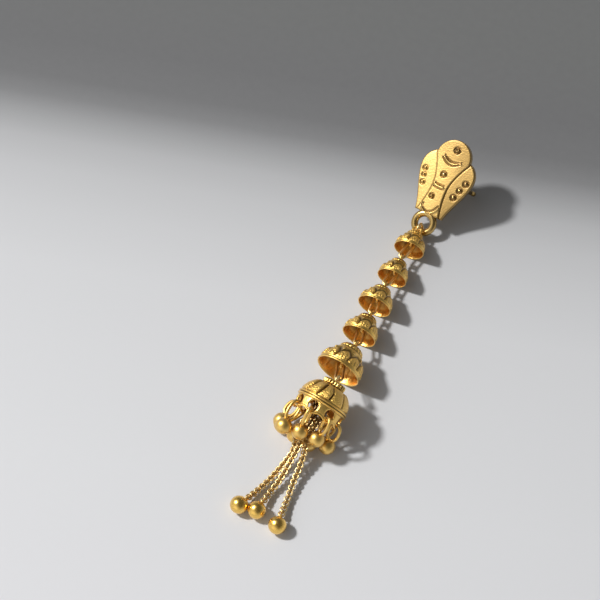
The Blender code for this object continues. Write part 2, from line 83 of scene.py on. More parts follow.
# Ornament pressed into the plate: round pips, each with its middle and its radius
TONGUE_PIPS = ((-0.26, 7.36, 0.62), (-0.59, 3.16, 0.5), (0.18, 12.06, 0.68))
PETAL_PIPS = (
    (-4.05, 7.03, 0.5),
    (-3.76, 5.89, 0.45),
    (-3.43, 4.63, 0.5),
    (4.10, 7.42, 0.6),
    (3.56, 5.95, 0.56),
    (3.05, 4.43, 0.6),
)
PIP_RISE = 0.16
PIP_GROOVE_DEPTH = 0.17
PIP_GROOVE_WIDTH = 0.13
TONGUE_GROOVES = (
    # start, middle, end, width, depth
    ((-1.55, 10.55), (0.25, 9.93), (1.85, 10.45), 0.12, 0.17),
    ((-1.75, 10.05), (0.0, 9.20), (1.75, 10.02), 0.12, 0.15),
    ((-1.00, 5.60), (-0.15, 5.50), (0.75, 5.55), 0.10, 0.20),
    ((-1.05, 4.85), (-0.2, 4.78), (0.65, 4.82), 0.10, 0.20),
    ((-1.62, 1.10), (0.05, 0.42), (1.35, 1.95), 0.13, 0.16),
)
TONGUE_RIDGES = (
    # start, middle, end, width, rise
    ((-1.45, 10.28), (0.1, 9.57), (1.75, 10.25), 0.22, 0.16),
    ((-0.95, 5.22), (-0.15, 5.14), (0.65, 5.18), 0.24, 0.16),
    ((-1.35, 0.68), (0.25, 0.18), (1.55, 1.65), 0.2, 0.15),
)
TONGUE_GRANULES = (
    # u, v, radius, rise
    (0.48, 12.2, 0.3, 0.2),
    (0.2, 11.78, 0.26, 0.18),
    (-0.59, 3.22, 0.26, 0.12),
)
TONGUE_NOTCHES = (
    # u, v, half size
    (-0.12, 12.1, 0.26),
    (-1.55, 1.38, 0.3),
    (-0.98, 3.12, 0.2),
    (-0.2, 2.88, 0.22),
)
NOTCH_DEPTH = 0.22
POST_PROFILE = (
    # share of the length, radius past the post's
    (0.0, 0.28), (0.06, 0.27), (0.09, 0.12), (0.12, 0.0), (0.82, 0.0), (0.835, -0.1), (0.865, -0.1),
    (0.88, 0.0), (0.97, 0.0), (0.99, -0.08), (1.0, -0.22),
)

# Bells, from the plate down. Heading turns the crown from +Y towards +X, rise lifts it.
BELL_FIELDS = ("x", "y", "heading", "rise", "mouth_radius", "height", "inner_loop_length")
BELLS = (
    (1.07, 19.07, -3.0, 0.0, 2.70, 3.90, 1.60),
    (0.56, 12.74, -0.5, -0.5, 2.65, 4.00, 1.60),
    (0.05, 6.25, 1.0, -0.5, 3.00, 4.20, 1.70),
    (-0.04, -0.15, 2.0, 0.0, 3.05, 4.40, 1.80),
    (-0.42, -8.15, 8.0, 1.5, 4.00, 5.40, 2.60),
)
FLOOR_GAP = 0.01
BELL_TWIST = 20.0
CROWN_RIBS = 18
# Each bell's count of petals, and the middle of its first petal at the mouth
BELL_PETALS = ((8, 10.0), (8, 8.0), (8, 8.0), (8, 6.0), (10, -2.0))
# The sizes of a bell's marks are for a mouth of this radius, and grow with the mouth
MARKS_MOUTH_RADIUS = 2.9
PETAL_RISE = 0.13
PETAL_SUNK = 0.05
PETAL_LEAN = 0.35
GROOVE_DEPTH = 0.15
GROOVE_WIDTH = 0.105
SHOULDER_GROOVE_WIDTH = 0.12
GRANULE_RADIUS = 0.17
GRANULE_RISE = 0.12
CROWN_RIB_DEPTH = 0.07
FOOT_LINE_SPACING = 0.42
FOOT_LINE_SLANT = 1.1
FOOT_LINE_DEPTH = 0.05
# Shares of a bell's height
PETAL_WIDEST = 0.34
PETAL_SHOULDER = 0.45
PETAL_REACH = 0.24
GRANULE_HEIGHT = 0.57
INNER_TOP = 0.65
BELL_COLUMNS = 288
BELL_OUTSIDE = (
    # share of the height, share of the mouth's radius
    (1.00, 0.01), (0.99, 0.16), (0.965, 0.28), (0.92, 0.42), (0.86, 0.50), (0.80, 0.54),
    (0.765, 0.535), (0.74, 0.54), (0.71, 0.60), (0.62, 0.71), (0.52, 0.80), (0.42, 0.87),
    (0.31, 0.925), (0.20, 0.955), (0.10, 0.97), (0.08, 0.95), (0.06, 0.965), (0.04, 0.995),
    (0.02, 1.00), (0.004, 0.975),
)
BELL_INSIDE = ((0.008, 0.95), (0.05, 0.925), (0.30, 0.83), (0.50, 0.66), (0.62, 0.38), (0.65, 0.004))
EYE_RADIUS = 0.72
EYE_STAND = 0.38
LOOP_SUNK = 0.15
FINE_WIRE_RADIUS = 0.22

# Dome. Its frame has its origin at the wire band's centre and z towards the collar.
DOME_CENTRE = (0.01, -15.49, 5.47)
DOME_HEADING = 9.0
DOME_RISE = 16.7
COLLAR_TOP = 4.3
COLLAR_FLUTES = 22
SEAM_LEVELS = (0.45, 2.0, 3.3)
DOME_SEAMS = (
    # angle at each of the levels
    (-42.0, -34.0, -35.0),
    (-9.0, -3.0, -1.0),
    (22.0, 26.0, 16.0),
    (61.0, 59.0, 63.0),
    (97.0, 98.0, 98.0),
    (133.0, 134.0, 134.0),
    (170.0, 171.0, 171.0),
    (207.0, 208.0, 208.0),
    (244.0, 245.0, 245.0),
    (280.0, 281.0, 281.0),
)
SKIRT_DEPTH = 2.7
DOME_COLUMNS = 400
DOME_OUTSIDE = (
    # height above the band, radius
    (4.28, 0.02), (4.30, 1.42), (4.26, 1.68), (4.14, 1.87), (3.95, 1.94), (3.55, 1.94),
    (3.40, 1.88), (3.31, 1.70), (3.27, 2.05), (3.12, 2.50), (2.90, 2.93), (2.52, 3.36),
    (2.10, 3.70), (1.65, 3.95), (1.15, 4.15), (0.70, 4.24), (0.47, 4.22), (0.40, 4.30),
    (0.32, 4.43), (0.20, 4.47), (0.09, 4.43), (0.02, 4.24), (-0.02, 4.24), (-0.09, 4.43),
    (-0.20, 4.47), (-0.32, 4.43), (-0.40, 4.28), (-0.46, 4.22), (-1.36, 4.21), (-2.20, 4.10),
    (-2.32, 4.03), (-2.41, 4.10), (-2.53, 4.13), (-2.65, 4.08), (-SKIRT_DEPTH, 3.95),
)
DOME_INSIDE = (
    (-SKIRT_DEPTH, 3.85), (-2.63, 3.72), (-2.45, 3.69), (-1.35, 3.74), (0.00, 3.85), (1.30, 3.60),
    (2.30, 2.85), (2.95, 1.60), (3.10, 0.02),
)
DOME_LINES = (
    # height above the band, width and strength of a line of painted shade all the way round
    (3.31, 0.09, 0.95),
    (0.49, 0.07, 0.8),
    (0.0, 0.07, 1.0),
    (-0.47, 0.06, 0.7),
    (-2.32, 0.06, 0.5),
)
DOME_PETAL_RISE = 0.15
DOME_PETAL_PROFILE = (
    # share of the way across a leaning petal, share of its rise
    (0.0, -1.3), (0.06, -0.8), (0.12, -0.3), (0.28, 0.2), (0.52, 0.7), (0.78, 1.0), (0.9, 0.8),
    (0.95, -0.5), (1.0, -1.3),
)
SEAM_DEPTH = 0.1
SEAM_WIDTH = 0.17
SLOT_DEPTH = 0.12
SLOT_WIDTH = 0.32
FLUTE_DEPTH = 0.2
HOLE_RIM_DEPTH = 0.1
HOLE_RIM_WIDTH = 0.13
HOLE_WALL_PAINTED_SHADE = 0.35
HOLE_SHARP_ANGLE = 50.0
SCALLOP_DEPTH = 0.4
HOLE_RADIUS = 0.9
HOLE_DEPTH = 1.36
DRILL_FROM = 2.9
DRILL_TO = 5.2
FIRST_HOLE = -2.0
STRIP_RADIUS = 3.93
STRIP_FROM_HOLE = 1.12
STRIP_TO_HOOP_END = 0.66
DOME_LOOP_LENGTH = 1.9
DOME_LOOP_CENTRE = 2.75

# Fringe: the balls, clockwise from the hole at the top as seen from the mouth
FRINGE_BALL_RADIUS = 1.38
HOOP_WIRE_RADIUS = 0.29
HOOP_HALF_WIDTH = 0.93
LOWEST_HOOP_HALF_WIDTH = 0.7
HOOP_SQUARENESS = 2.35
HOOP_SUNK = 0.12
FRINGE_BALLS = (
    (-1.27, -21.58, 5.60),
    (1.55, -21.27, 4.50),
    (3.09, -20.46, 1.62),
    (0.08, -21.12, 1.39),
    (-2.64, -20.54, 1.39),
    (-5.35, -19.64, 1.39),
    (-5.11, -20.36, 4.12),
    (-3.97, -22.00, 6.20),
)

# Links, from the plate's ring down to the dome
LINK_HALF_WIDTH = 0.58
RING_LINK_HALF_WIDTH = 0.86
WIRE_GAP = 0.1

# Tails: the points that each chain passes between its ring and its ball
END_BALL_RADIUS = 1.5
END_EYE_RADIUS = 0.42
END_EYE_WIRE_RADIUS = 0.16
TAIL_RING_RADIUS = 1.3
TAIL_RING_WIRE_RADIUS = 0.24
TAIL_SPACING = 1.03
TAIL_ROUTES = (
    (
        (-2.12, -20.69, 3.62), (-1.78, -22.17, 3.12), (-1.59, -23.69, 2.20), (-1.95, -25.23, 1.65),
        (-2.61, -27.65, 1.15), (-3.37, -29.95, 0.90), (-4.21, -32.08, 0.85),
    ),
    (
        (-0.99, -20.64, 3.75), (-0.87, -22.05, 3.65), (-0.81, -23.39, 3.25), (-1.04, -25.27, 2.50),
        (-1.37, -27.64, 1.65), (-1.65, -29.61, 1.20), (-2.12, -31.30, 0.95),
    ),
    (
        (0.02, -20.34, 3.40), (0.09, -21.56, 3.35), (0.28, -23.07, 3.00), (0.56, -25.46, 1.95),
        (0.56, -27.17, 1.45), (0.82, -30.74, 1.00), (0.99, -32.58, 0.95),
    ),
)
END_BALLS = ((-5.70, -35.78), (-2.70, -35.47), (1.42, -36.56))
CHAIN_HALF_LENGTH = 0.38
CHAIN_HALF_WIDTH = 0.47
CHAIN_SQUARENESS = 2.6
CHAIN_WIRE_RADIUS = 0.15
# Painted shade on the links: dark near the ring, lightening over about this length, but every second
# one stays a little darker
LINK_SHADE_LENGTH = 5.0
CHAIN_PITCH = 0.5
CHAIN_TURN = 12.0
CONNECTOR_GAP = 0.02
CONNECTOR_HALF_WIDTH = 0.4

# Golds: colours, roughness, roughness added by grain, fine bump and the stipple's depth in metres
GOLDS = {
    "satin_gold": ((1.0, 0.68, 0.19), (0.95, 0.58, 0.13), 0.34, 0.1, 0.3, 0.00013),
    # A darker copy of the gold for the plate: painted shade that holds down how bright it shows facing
    # the sun
    "plate_gold": ((0.62, 0.42, 0.145), (0.54, 0.35, 0.10), 0.24, 0.21, 0.3, 0.00002),
    # A lighter copy of the gold for links, chains and the wires in bells: painted light where they sit
    # in shade
    "wire_gold_painted_lighter": ((1.0, 0.76, 0.36), (0.93, 0.66, 0.26), 0.34, 0.06, 0.15, 0.00013),
    "pearly_ball_gold": ((0.92, 0.62, 0.18), (0.85, 0.53, 0.13), 0.40, 0.06, 0.15, 0.00013),
    "polished_ball_gold": ((0.97, 0.64, 0.16), (0.90, 0.55, 0.11), 0.27, 0.06, 0.1, 0.00013),
}
# Painted warm bounce light for the insides of the bells and the dome
PAINTED_BOUNCE_COLOUR = (0.95, 0.51, 0.11, 1.0)
# Painted shade: the dark colour mixed in by each vertex's shade value, and how strongly
PAINTED_SHADE_COLOUR = (0.10, 0.042, 0.009, 1.0)
PAINTED_SHADE_STRENGTH = 0.9
COAT_WEIGHT = 0.5
COAT_ROUGHNESS = 0.3
ROUGHNESS_SPREAD = 0.12
# Sizes of the noise, in waves per metre
TONE_SCALE = 900.0
BLOTCH_SCALE = 2600.0
STIPPLE_SCALE = 4200.0
FINE_SCALE = 9000.0
FLOOR_SPECKLE_SCALE = 700.0
FLOOR_BUMP_SCALE = 2500.0
FLOOR_BUMP_METRES = 0.00005

# Camera and light
CAMERA_ELEVATION = 60.0
CAMERA_AZIMUTH = 24.0
CAMERA_DISTANCE = 380.0
CAMERA_TARGET = Vector((-12.6, 3.9, 0.0)) + CENTRING
PICTURE_PIXELS = 600.0
PIXELS_PER_MM = 5.85
LIGHT_DIRECTION = Vector((-0.863, -0.078, 1.0)).normalized()
FRONT_LIGHT_DIRECTION = Vector((-0.35, -0.9, 0.25)).normalized()
SUN_STRENGTH = 2.95
SUN_ANGLE = 6.5
SUN_COLOUR = (1.0, 0.985, 0.96)
# The world's light: how nearly one looks towards the sun, at which strength
SUN_GLOW = ((0.80, 0.0), (0.92, 0.30), (1.0, 1.0))
# How high one looks, at which strength
SKY_BAND = ((0.0, 0.42), (0.25, 0.38), (0.5, 0.11), (1.0, 0.09))
# How nearly one looks towards the front light, at which strength
FRONT_GLOW = ((0.6, 0.0), (0.85, 0.35), (1.0, 0.8))

# Floor: its grey from the near edge of the shade's reach to the far one, in shares
FLOOR_HALF_METRES = 1.5
FLOOR_SHADE_REACH = 60.0
FLOOR_SHADE_SLANT = 0.2
FLOOR_NEAR_COLOUR = (0.69, 0.70, 0.735, 1.0)
FLOOR_FAR_COLOUR = (0.152, 0.157, 0.16, 1.0)
FLOOR_GREYS = (
    (0.20, 0.69), (0.36, 0.665), (0.49, 0.64), (0.58, 0.585), (0.65, 0.525), (0.70, 0.45),
    (0.745, 0.32), (0.775, 0.22), (0.81, 0.172), (0.88, 0.156),
)
FLOOR_TINT = (0.98, 1.0, 1.045)
FLOOR_LEFT_BRIGHTNESS = 1.06
FLOOR_FALL_TO_RIGHT = 0.13


# Shapes

class Shape:
    """The vertices, faces and surface values of one piece.

    Each vertex has three values from 0 to 1: how much painted shade it gets, deep in recesses
    or on sides turned from the light; how grained the surface is there; and how far inside a bell it
    is.
    """

    def __init__(self):
        self.points = []
        self.values = []
        self.quads = []
        self.triangles = []
        self.count = 0

    def add(self, points, quads, triangles=(), values=(0.0, 0.0, 0.0)):
        """Adds a closed body and turns its faces outwards."""
        points = np.asarray(points, float).reshape(-1, 3)
        triangles = np.asarray(triangles, int).reshape(-1, 3)
        halves = np.vstack((quads[:, [0, 1, 2]], quads[:, [0, 2, 3]], triangles))
        first, second, third = (points[halves[:, k]] - points[0] for k in range(3))
        volume = np.einsum("ij,ij->", first, np.cross(second, third))
        if volume < 0.0:
            quads = quads[:, ::-1]
            triangles = triangles[:, ::-1]
        self.points.append(points)
        self.values.append(np.broadcast_to(values, points.shape))
        self.quads.append(quads + self.count)
        self.triangles.append(triangles + self.count)
        self.count += len(points)

    def move(self, placing):
        """Carries what has been added into the world, in millimetres."""
        turn = np.array(placing.to_3x3())
        shift = np.array(placing.translation)
        self.points = [points @ turn.T + shift for points in self.points]


def new_object(name, data):
    made = bpy.data.objects.new(name, data)
    bpy.context.scene.collection.objects.link(made)
    return made


def mesh_of(name, shape):
    mesh = bpy.data.meshes.new(name)
    points = (np.vstack(shape.points) + np.array(CENTRING)) * METRES_PER_MM
    faces = np.vstack(shape.quads).tolist() + np.vstack(shape.triangles).tolist()
    mesh.from_pydata(points.tolist(), [], faces)
    values = np.vstack(shape.values)
    for k, label in enumerate(("painted_shade", "grain", "inside")):
        layer = mesh.attributes.new(label, "FLOAT", "POINT")
        layer.data.foreach_set("value", np.ascontiguousarray(values[:, k], np.float32))
    return mesh


def new_piece(name, shape, material, slot_name, *nodes):
    """The finished object of a shape. It stands for the named CAD nodes."""
    mesh = mesh_of(name, shape)
    mesh.shade_smooth()
    mesh.materials.append(material)
    piece = new_object(name, mesh)
    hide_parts(*nodes)
    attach(piece, "root")
    return piece


def grid_quads(rows, columns, wrap_columns=True, wrap_rows=False):
    """The quads of points kept row by row, joined round where asked."""
    index = np.arange(rows * columns).reshape(rows, columns)
    if wrap_columns:
        index = np.hstack((index, index[:, :1]))
    if wrap_rows:
        index = np.vstack((index, index[:1]))
    corners = (index[:-1, :-1], index[:-1, 1:], index[1:, 1:], index[1:, :-1])
    return np.stack(corners, -1).reshape(-1, 4)


def end_fans(rows, columns):
    """Triangles from two points after a grid's own to its first and to its last row."""
    pole = rows * columns
    last_row = pole - columns
    here = np.arange(columns)
    there = (here + 1) % columns
    start_fan = np.stack((np.full(columns, pole), there, here), -1)
    end_fan = np.stack((np.full(columns, pole + 1), last_row + here, last_row + there), -1)
    return np.vstack((start_fan, end_fan))


def add_skin(shape, rings, values):
    """A closed body through rings of points, with a fan over its first and its last ring."""
    rows, columns, _ = rings.shape
    points, values = (
        np.vstack((grid.reshape(-1, 3), grid[0].mean(0), grid[-1].mean(0)))
        for grid in (rings, np.broadcast_to(values, rings.shape))
    )
    shape.add(points, grid_quads(rows, columns), end_fans(rows, columns), values)


def add_ball(shape, centre, radius, segments, rows):
    tilt = np.linspace(0.0, pi, rows + 1)[1:-1, None]
    turn = np.linspace(0.0, 2.0 * pi, segments, endpoint=False)[None, :]
    height = np.cos(tilt) + 0.0 * turn
    rings = np.stack((np.sin(tilt) * np.cos(turn), np.sin(tilt) * np.sin(turn), height), -1)
    points = np.vstack((rings.reshape(-1, 3), (0.0, 0.0, 1.0), (0.0, 0.0, -1.0)))
    quads = grid_quads(len(rings), segments)
    shape.add(points * radius + np.array(centre), quads, end_fans(len(rings), segments))


def add_closed_wire(shape, middle, normal, wire_radius, sides, painted_shade=0.0):
    """A round wire along a closed flat curve."""
    run = np.roll(middle, -1, axis=0) - np.roll(middle, 1, axis=0)
    outward = np.cross(run, normal)
    outward /= np.linalg.norm(outward, axis=1)[:, None]
    around = 2.0 * pi * np.arange(sides) / sides
    rings = (
        middle[:, None]
        + outward[:, None] * (wire_radius * np.cos(around))[None, :, None]
        + normal * (wire_radius * np.sin(around))[None, :, None]
    )
    quads = grid_quads(len(middle), sides, wrap_rows=True)
    shape.add(rings, quads, values=(painted_shade, 0.0, 0.0))


def flat_axes(along, across):
    """The two directions made square to each other, and the normal of their plane."""
    along = Vector(along).normalized()
    across = (Vector(across) - along * along.dot(Vector(across))).normalized()
    return np.array(along), np.array(across), np.array(along.cross(across))


def add_wire_loop(
    shape, centre, along, across, half_length, half_width, wire_radius, points=64, sides=16
):
    """A closed wire oval with straight sides and round ends."""
    along, across, normal = flat_axes(along, across)
    turn = 2.0 * pi * (np.arange(points) + 0.5) / points
    outward = np.cos(turn)[:, None] * along + np.sin(turn)[:, None] * across
    forward = np.where(np.cos(turn) > 0.0, 1.0, -1.0)[:, None]
    middle = np.array(centre) + forward * along * (half_length - half_width)
    add_closed_wire(shape, middle + outward * half_width, normal, wire_radius, sides)


def add_wire_ring(shape, centre, along, across, radius, wire_radius, points=64, sides=16):
    add_wire_loop(shape, centre, along, across, radius, radius, wire_radius, points, sides)


def even_points(points, spacing=1.0, count=None):
    """A run of points made even, at about the given spacing or with the given count."""
    points = np.asarray(points, float)
    steps = np.linalg.norm(np.diff(points, axis=0), axis=1)
    walked = np.concatenate(((0.0,), np.cumsum(steps)))
    places = np.linspace(0.0, walked[-1], count or int(walked[-1] / spacing) + 1)
    return np.stack([np.interp(places, walked, column) for column in points.T], -1)


def add_bowed_loop(
    shape, centre, along, across, half_length, half_width, wire_radius, squareness,
    points=64, sides=16, painted_shade=0.0,
):
    """A closed wire oval with bowed sides: an ellipse at squareness 2, nearer a box above it."""
    along, across, normal = flat_axes(along, across)
    turn = np.linspace(0.0, 2.0 * pi, 721)
    circle = np.stack((np.cos(turn), np.sin(turn)), -1)
    oval = np.sign(circle) * np.abs(circle) ** (2.0 / squareness) * (half_length, half_width)
    oval = even_points(oval, count=points + 1)[:-1]
    middle = np.array(centre) + oval @ np.array((along, across))
    add_closed_wire(shape, middle, normal, wire_radius, sides, painted_shade)


def add_bar(shape, start, end, profile, sides=32, painted_shade=0.0):
    """A turned bar from start to end. The profile has shares of its length and radii."""
    start = np.array(start)
    along = np.array(end) - start
    axis = Vector(along).normalized()
    across = np.array(axis.orthogonal().normalized())
    other = np.cross(np.array(axis), across)
    turn = 2.0 * pi * np.arange(sides) / sides
    circle = np.cos(turn)[:, None] * across + np.sin(turn)[:, None] * other
    rings = np.array([start + along * share + circle * radius for share, radius in profile])
    add_skin(shape, rings, (painted_shade, 0.0, 0.0))


def soft_profile(corners, spacing, softness):
    """Evenly spaced points along straight runs whose corners are softened; the ends stay."""
    run = even_points(corners, spacing)
    step = np.linalg.norm(run[1] - run[0])
    half = int(3.0 * softness / step) + 1
    weights = np.exp(-0.5 * (np.arange(-half, half + 1) * step / softness) ** 2)
    weights /= weights.sum()
    before = 2.0 * run[0] - run[half:0:-1]
    after = 2.0 * run[-1] - run[-2:-half - 2:-1]
    padded = np.vstack((before, run, after))
    return np.stack([np.convolve(column, weights, "valid") for column in padded.T], -1)


def bump_at(distance, width):
    """1 at distance 0, falling softly to 0 over about twice the width."""
    return np.exp(-((distance / width) ** 2))


def smooth_step(value, low, high):
    share = np.clip((value - low) / (high - low), 0.0, 1.0)
    return share * share * (3.0 - 2.0 * share)


def between(value, start, full, fading, gone):
    """0 up to start, 1 from full to fading, and 0 again from gone on."""
    return smooth_step(value, start, full) * (1.0 - smooth_step(value, fading, gone))


# Frames, as the CAD part has them

def pointing(heading, rise=0.0):
    """The direction that a heading turns from +Y towards +X and a rise lifts."""
    turn = radians(heading)
    lift = radians(rise)
    return Vector((sin(turn) * cos(lift), cos(turn) * cos(lift), sin(lift)))


def frame_of(x_axis, y_axis, z_axis, origin):
    placed = Matrix((x_axis, y_axis, z_axis)).transposed().to_4x4()
    placed.translation = origin
    return placed


def lying_frame(origin, heading, rise):
    """The frame of a bell on its side: z to its crown, x up and y to the right of it."""
    z_axis = pointing(heading, rise)
    y_axis = pointing(heading + 90.0)
    return frame_of(y_axis.cross(z_axis), y_axis, z_axis, origin)


def plate_frame():
    """u to the right, v up the plate's slope, w out of its front."""
    roll = radians(PLATE_ROLL)
    v_axis = pointing(PLATE_HEADING, PLATE_SLOPE)
    level = pointing(PLATE_HEADING + 90.0)
    u_axis = level * cos(roll) + level.cross(v_axis) * sin(roll)
    return frame_of(u_axis, v_axis, u_axis.cross(v_axis), PLATE_ORIGIN)


def dome_frame():
    return lying_frame(DOME_CENTRE, DOME_HEADING, DOME_RISE)


# Ear plate

def curve_points(stretches, steps):
    """Points along Bezier stretches, each given as its two ends and two handles."""
    points = []
    for stretch in stretches:
        corners = [Vector((*corner, 0.0)) for corner in stretch]
        points.extend((point.x, point.y) for point in interpolate_bezier(*corners, steps + 1)[:-1])
    points.append(stretches[-1][-1])
    return points


def distance_to(u, v, path):
    """How far each point of a grid is from the nearest point of a path."""
    nearest = np.full(np.broadcast(u, v).shape, np.inf)
    for path_u, path_v in path:
        nearest = np.minimum(nearest, (u - path_u) ** 2 + (v - path_v) ** 2)
    return np.sqrt(nearest)


def bowed_line(start, bow, end):
    """Points along a bent line that passes through its start, a middle point and its end."""
    t = np.linspace(0.0, 1.0, 60)[:, None]
    start, bow, end = (np.array(point) for point in (start, bow, end))
    handle = 2.0 * bow - (start + end) / 2.0
    return (1.0 - t) ** 2 * start + 2.0 * t * (1.0 - t) * handle + t ** 2 * end


def add_plate_slab(shape, side, spacing, columns, clustering, back, edge, surface):
    """A slab over a mirrored outline. surface(u, v) gives its height and its surface values."""
    half_widths, heights = even_points(side, spacing).T
    across = np.linspace(-1.0, 1.0, columns)
    across = (1.0 - clustering) * across + clustering * np.sin(pi / 2.0 * across)
    u = half_widths[:, None] * across[None, :]
    v = heights[:, None] + 0.0 * u
    rim = np.stack((half_widths, heights), -1)
    bottom = [(x, heights[0]) for x in np.linspace(0.0, half_widths[0], 60)]
    outline = np.vstack((rim, rim * (-1.0, 1.0), bottom, [(-x, y) for x, y in bottom]))
    inset = distance_to(u, v, outline)
    top, painted_shade, grain = surface(u, v)
    rounding = np.sqrt(1.0 - (1.0 - np.clip(inset / EDGE_ROUNDING, 0.0, 1.0)) ** 2)
    w = edge + (top - edge) * rounding
    wall = np.linspace(0.75, 0.1, 4) * (edge - back) + back
    shares = np.concatenate((np.ones(4), np.linspace(0.985, -0.985, 12), -np.ones(4)))
    levels = np.concatenate((wall, np.full(12, back), wall[::-1]))
    below = np.broadcast_arrays(half_widths[:, None] * shares, heights[:, None], levels)
    rings = np.concatenate((np.stack((u, v, w), -1), np.stack(below, -1)), 1)
    values = np.zeros(rings.shape)
    values[:, :columns, 0] = painted_shade
    values[:, :columns, 1] = grain
    add_skin(shape, rings, values)


def pip_relief(u, v, pips):
    """A round pip in a ring groove at each place: height, painted shade in the groove, and polish."""
    height = np.zeros(u.shape)
    painted_shade = np.zeros(u.shape)
    polish = np.zeros(u.shape)
    for pip_u, pip_v, radius in pips:
        away = np.hypot(u - pip_u, v - pip_v)
        groove = bump_at(away - radius * 0.8, PIP_GROOVE_WIDTH)
        height += PIP_RISE * np.clip(1.0 - (away / (radius * 0.75)) ** 2, 0.0, 1.0)
        height -= PIP_GROOVE_DEPTH * groove
        painted_shade = np.maximum(painted_shade, 0.75 * groove)
        polish = np.maximum(polish, 1.0 - smooth_step(away, radius * 0.7, radius))
    return height, painted_shade, polish


def petal_surface(u, v):
    """The two petals: slightly crowned, with three pips each and a groove beside the tongue."""
    half_widths, heights = even_points(curve_points(PETAL_OUTLINE, 40), 0.05).T
    share = np.abs(u) / np.interp(v, heights, half_widths)
    top = PETAL_THICKNESS + (PETAL_RIDGE_THICKNESS - PETAL_THICKNESS) * (1.0 - share ** 2)
    height, painted_shade, polish = pip_relief(u, v, PETAL_PIPS)
    from_tongue = distance_to(np.abs(u), v, np.array(tongue_side(TONGUE_CURVE_STEPS)))
    groove = bump_at(from_tongue - 0.06, 0.1)
    # Painted shade in the pips' rings and in the groove beside the tongue, lighter on the left petal
    # that faces the light
    painted_shade = painted_shade * np.where(u < 0.0, 0.35, 0.9)
    painted_shade = np.maximum(painted_shade, np.where(u < 0.0, 0.3, 0.7) * groove)
    # Painted shade: the right petal is darker than the left one, as if turned away from the light
    shade = 0.02 + 0.38 * smooth_step(u - 0.15 * v, -4.2, 1.6)
    painted_shade = 1.0 - (1.0 - painted_shade) * (1.0 - shade)
    return top + height - 0.06 * groove, painted_shade, 1.0 - polish


def tongue_side(steps):
    """The right side of the tongue and its head, from the bottom edge to the very top."""
    side = curve_points(TONGUE_OUTLINE, steps)
    start = atan2(side[-1][1] - HEAD_CENTRE_V, side[-1][0])
    for angle in np.linspace(start, pi / 2.0, 3 * steps)[1:]:
        side.append((HEAD_RADIUS * cos(angle), HEAD_CENTRE_V + HEAD_RADIUS * sin(angle)))
    return side


def tongue_surface(u, v):
    """The raised tongue, with the pips, bars and bowed lines that are pressed into it."""
    top = np.full(u.shape, TONGUE_THICKNESS) - 0.012 * u ** 2
    height, painted_shade, polish = pip_relief(u, v, TONGUE_PIPS)
    # Painted shade fills the pips' rings, the grooves and the notches
    for start, bow, end, width, depth in TONGUE_GROOVES:
        groove = bump_at(distance_to(u, v, bowed_line(start, bow, end)), width)
        height -= depth * groove
        painted_shade = np.maximum(painted_shade, 0.8 * groove)
    # Painted shade: the head and the right side are darker, but not the ridges
    shade = 0.1 + 0.3 * smooth_step(v + 0.35 * u, 7.8, 11.0)
    shade += 0.1 * smooth_step(u, -1.5, 1.5)
    for start, bow, end, width, rise in TONGUE_RIDGES:
        ridge = bump_at(distance_to(u, v, bowed_line(start, bow, end)), width)
        height += rise * ridge
        shade = shade * (1.0 - ridge)
        polish = np.maximum(polish, ridge)
    for granule_u, granule_v, radius, rise in TONGUE_GRANULES:
        away = np.hypot(u - granule_u, v - granule_v)
        height += rise * np.sqrt(np.clip(1.0 - (away / radius) ** 2, 0.0, 1.0))
    for notch_u, notch_v, size in TONGUE_NOTCHES:
        away = np.maximum(np.abs(u - notch_u), np.abs(v - notch_v))
        notch = np.clip(1.0 - away / size, 0.0, 1.0)
        height -= NOTCH_DEPTH * notch
        painted_shade = np.maximum(painted_shade, notch)
    painted_shade = 1.0 - (1.0 - painted_shade) * (1.0 - shade)
    return top + height, painted_shade, 1.0 - polish


def make_ear_plate(material):
    shape = Shape()
    petals = curve_points(PETAL_OUTLINE, 40)
    add_plate_slab(shape, petals, 0.06, 161, 0.8, 0.0, PETAL_EDGE_THICKNESS, petal_surface)
    tongue = tongue_side(TONGUE_CURVE_STEPS)
    add_plate_slab(
        shape, tongue, 0.055, 97, 0.3, TONGUE_BACK, TONGUE_EDGE_THICKNESS, tongue_surface
    )
    add_wire_ring(shape, RING_CENTRE, Y_AXIS, X_AXIS, RING_RADIUS, RING_WIRE_RADIUS, 96, 32)
    placing = plate_frame()
    tip = placing.inverted() @ Vector(POST_TIP)
    post = [(share, POST_RADIUS + more) for share, more in POST_PROFILE]
    add_bar(shape, POST_ROOT, tip, post)
    shape.move(placing)
    new_piece("ear_plate_gold", shape, material, "satin_gold", "ear_plate")
    return loop_end(placing, RING_CENTRE, Z_AXIS, RING_RADIUS, RING_WIRE_RADIUS)


# Bells and dome

def loop_end(placing, centre, normal, radius=EYE_RADIUS, wire_radius=FINE_WIRE_RADIUS):
    """Where a round end of wire is in the world: its centre, its plane and its wire."""
    return {
        "centre": placing @ Vector(centre),
        "normal": placing.to_3x3() @ normal,
        "radius": radius,
        "wire": wire_radius,
    }


def add_hanging_loops(shape, placing, eye_height, loop_top, loop_length, eye_is_flat=False):
    """The eye on a crown and the oval loop inside it, in the bell's frame; returns both ends."""
    eye_across = Y_AXIS if eye_is_flat else X_AXIS
    eye_centre = Z_AXIS * eye_height
    add_wire_ring(shape, eye_centre, Z_AXIS, eye_across, EYE_RADIUS, FINE_WIRE_RADIUS)
    half_length = loop_length / 2.0
    centre = Z_AXIS * (loop_top - half_length)
    add_wire_loop(shape, centre, Z_AXIS, X_AXIS, half_length, EYE_RADIUS, FINE_WIRE_RADIUS)
    bottom = Z_AXIS * (loop_top - loop_length + EYE_RADIUS)
    eye_end = loop_end(placing, eye_centre, Z_AXIS.cross(eye_across))
    return eye_end, loop_end(placing, bottom, Y_AXIS)


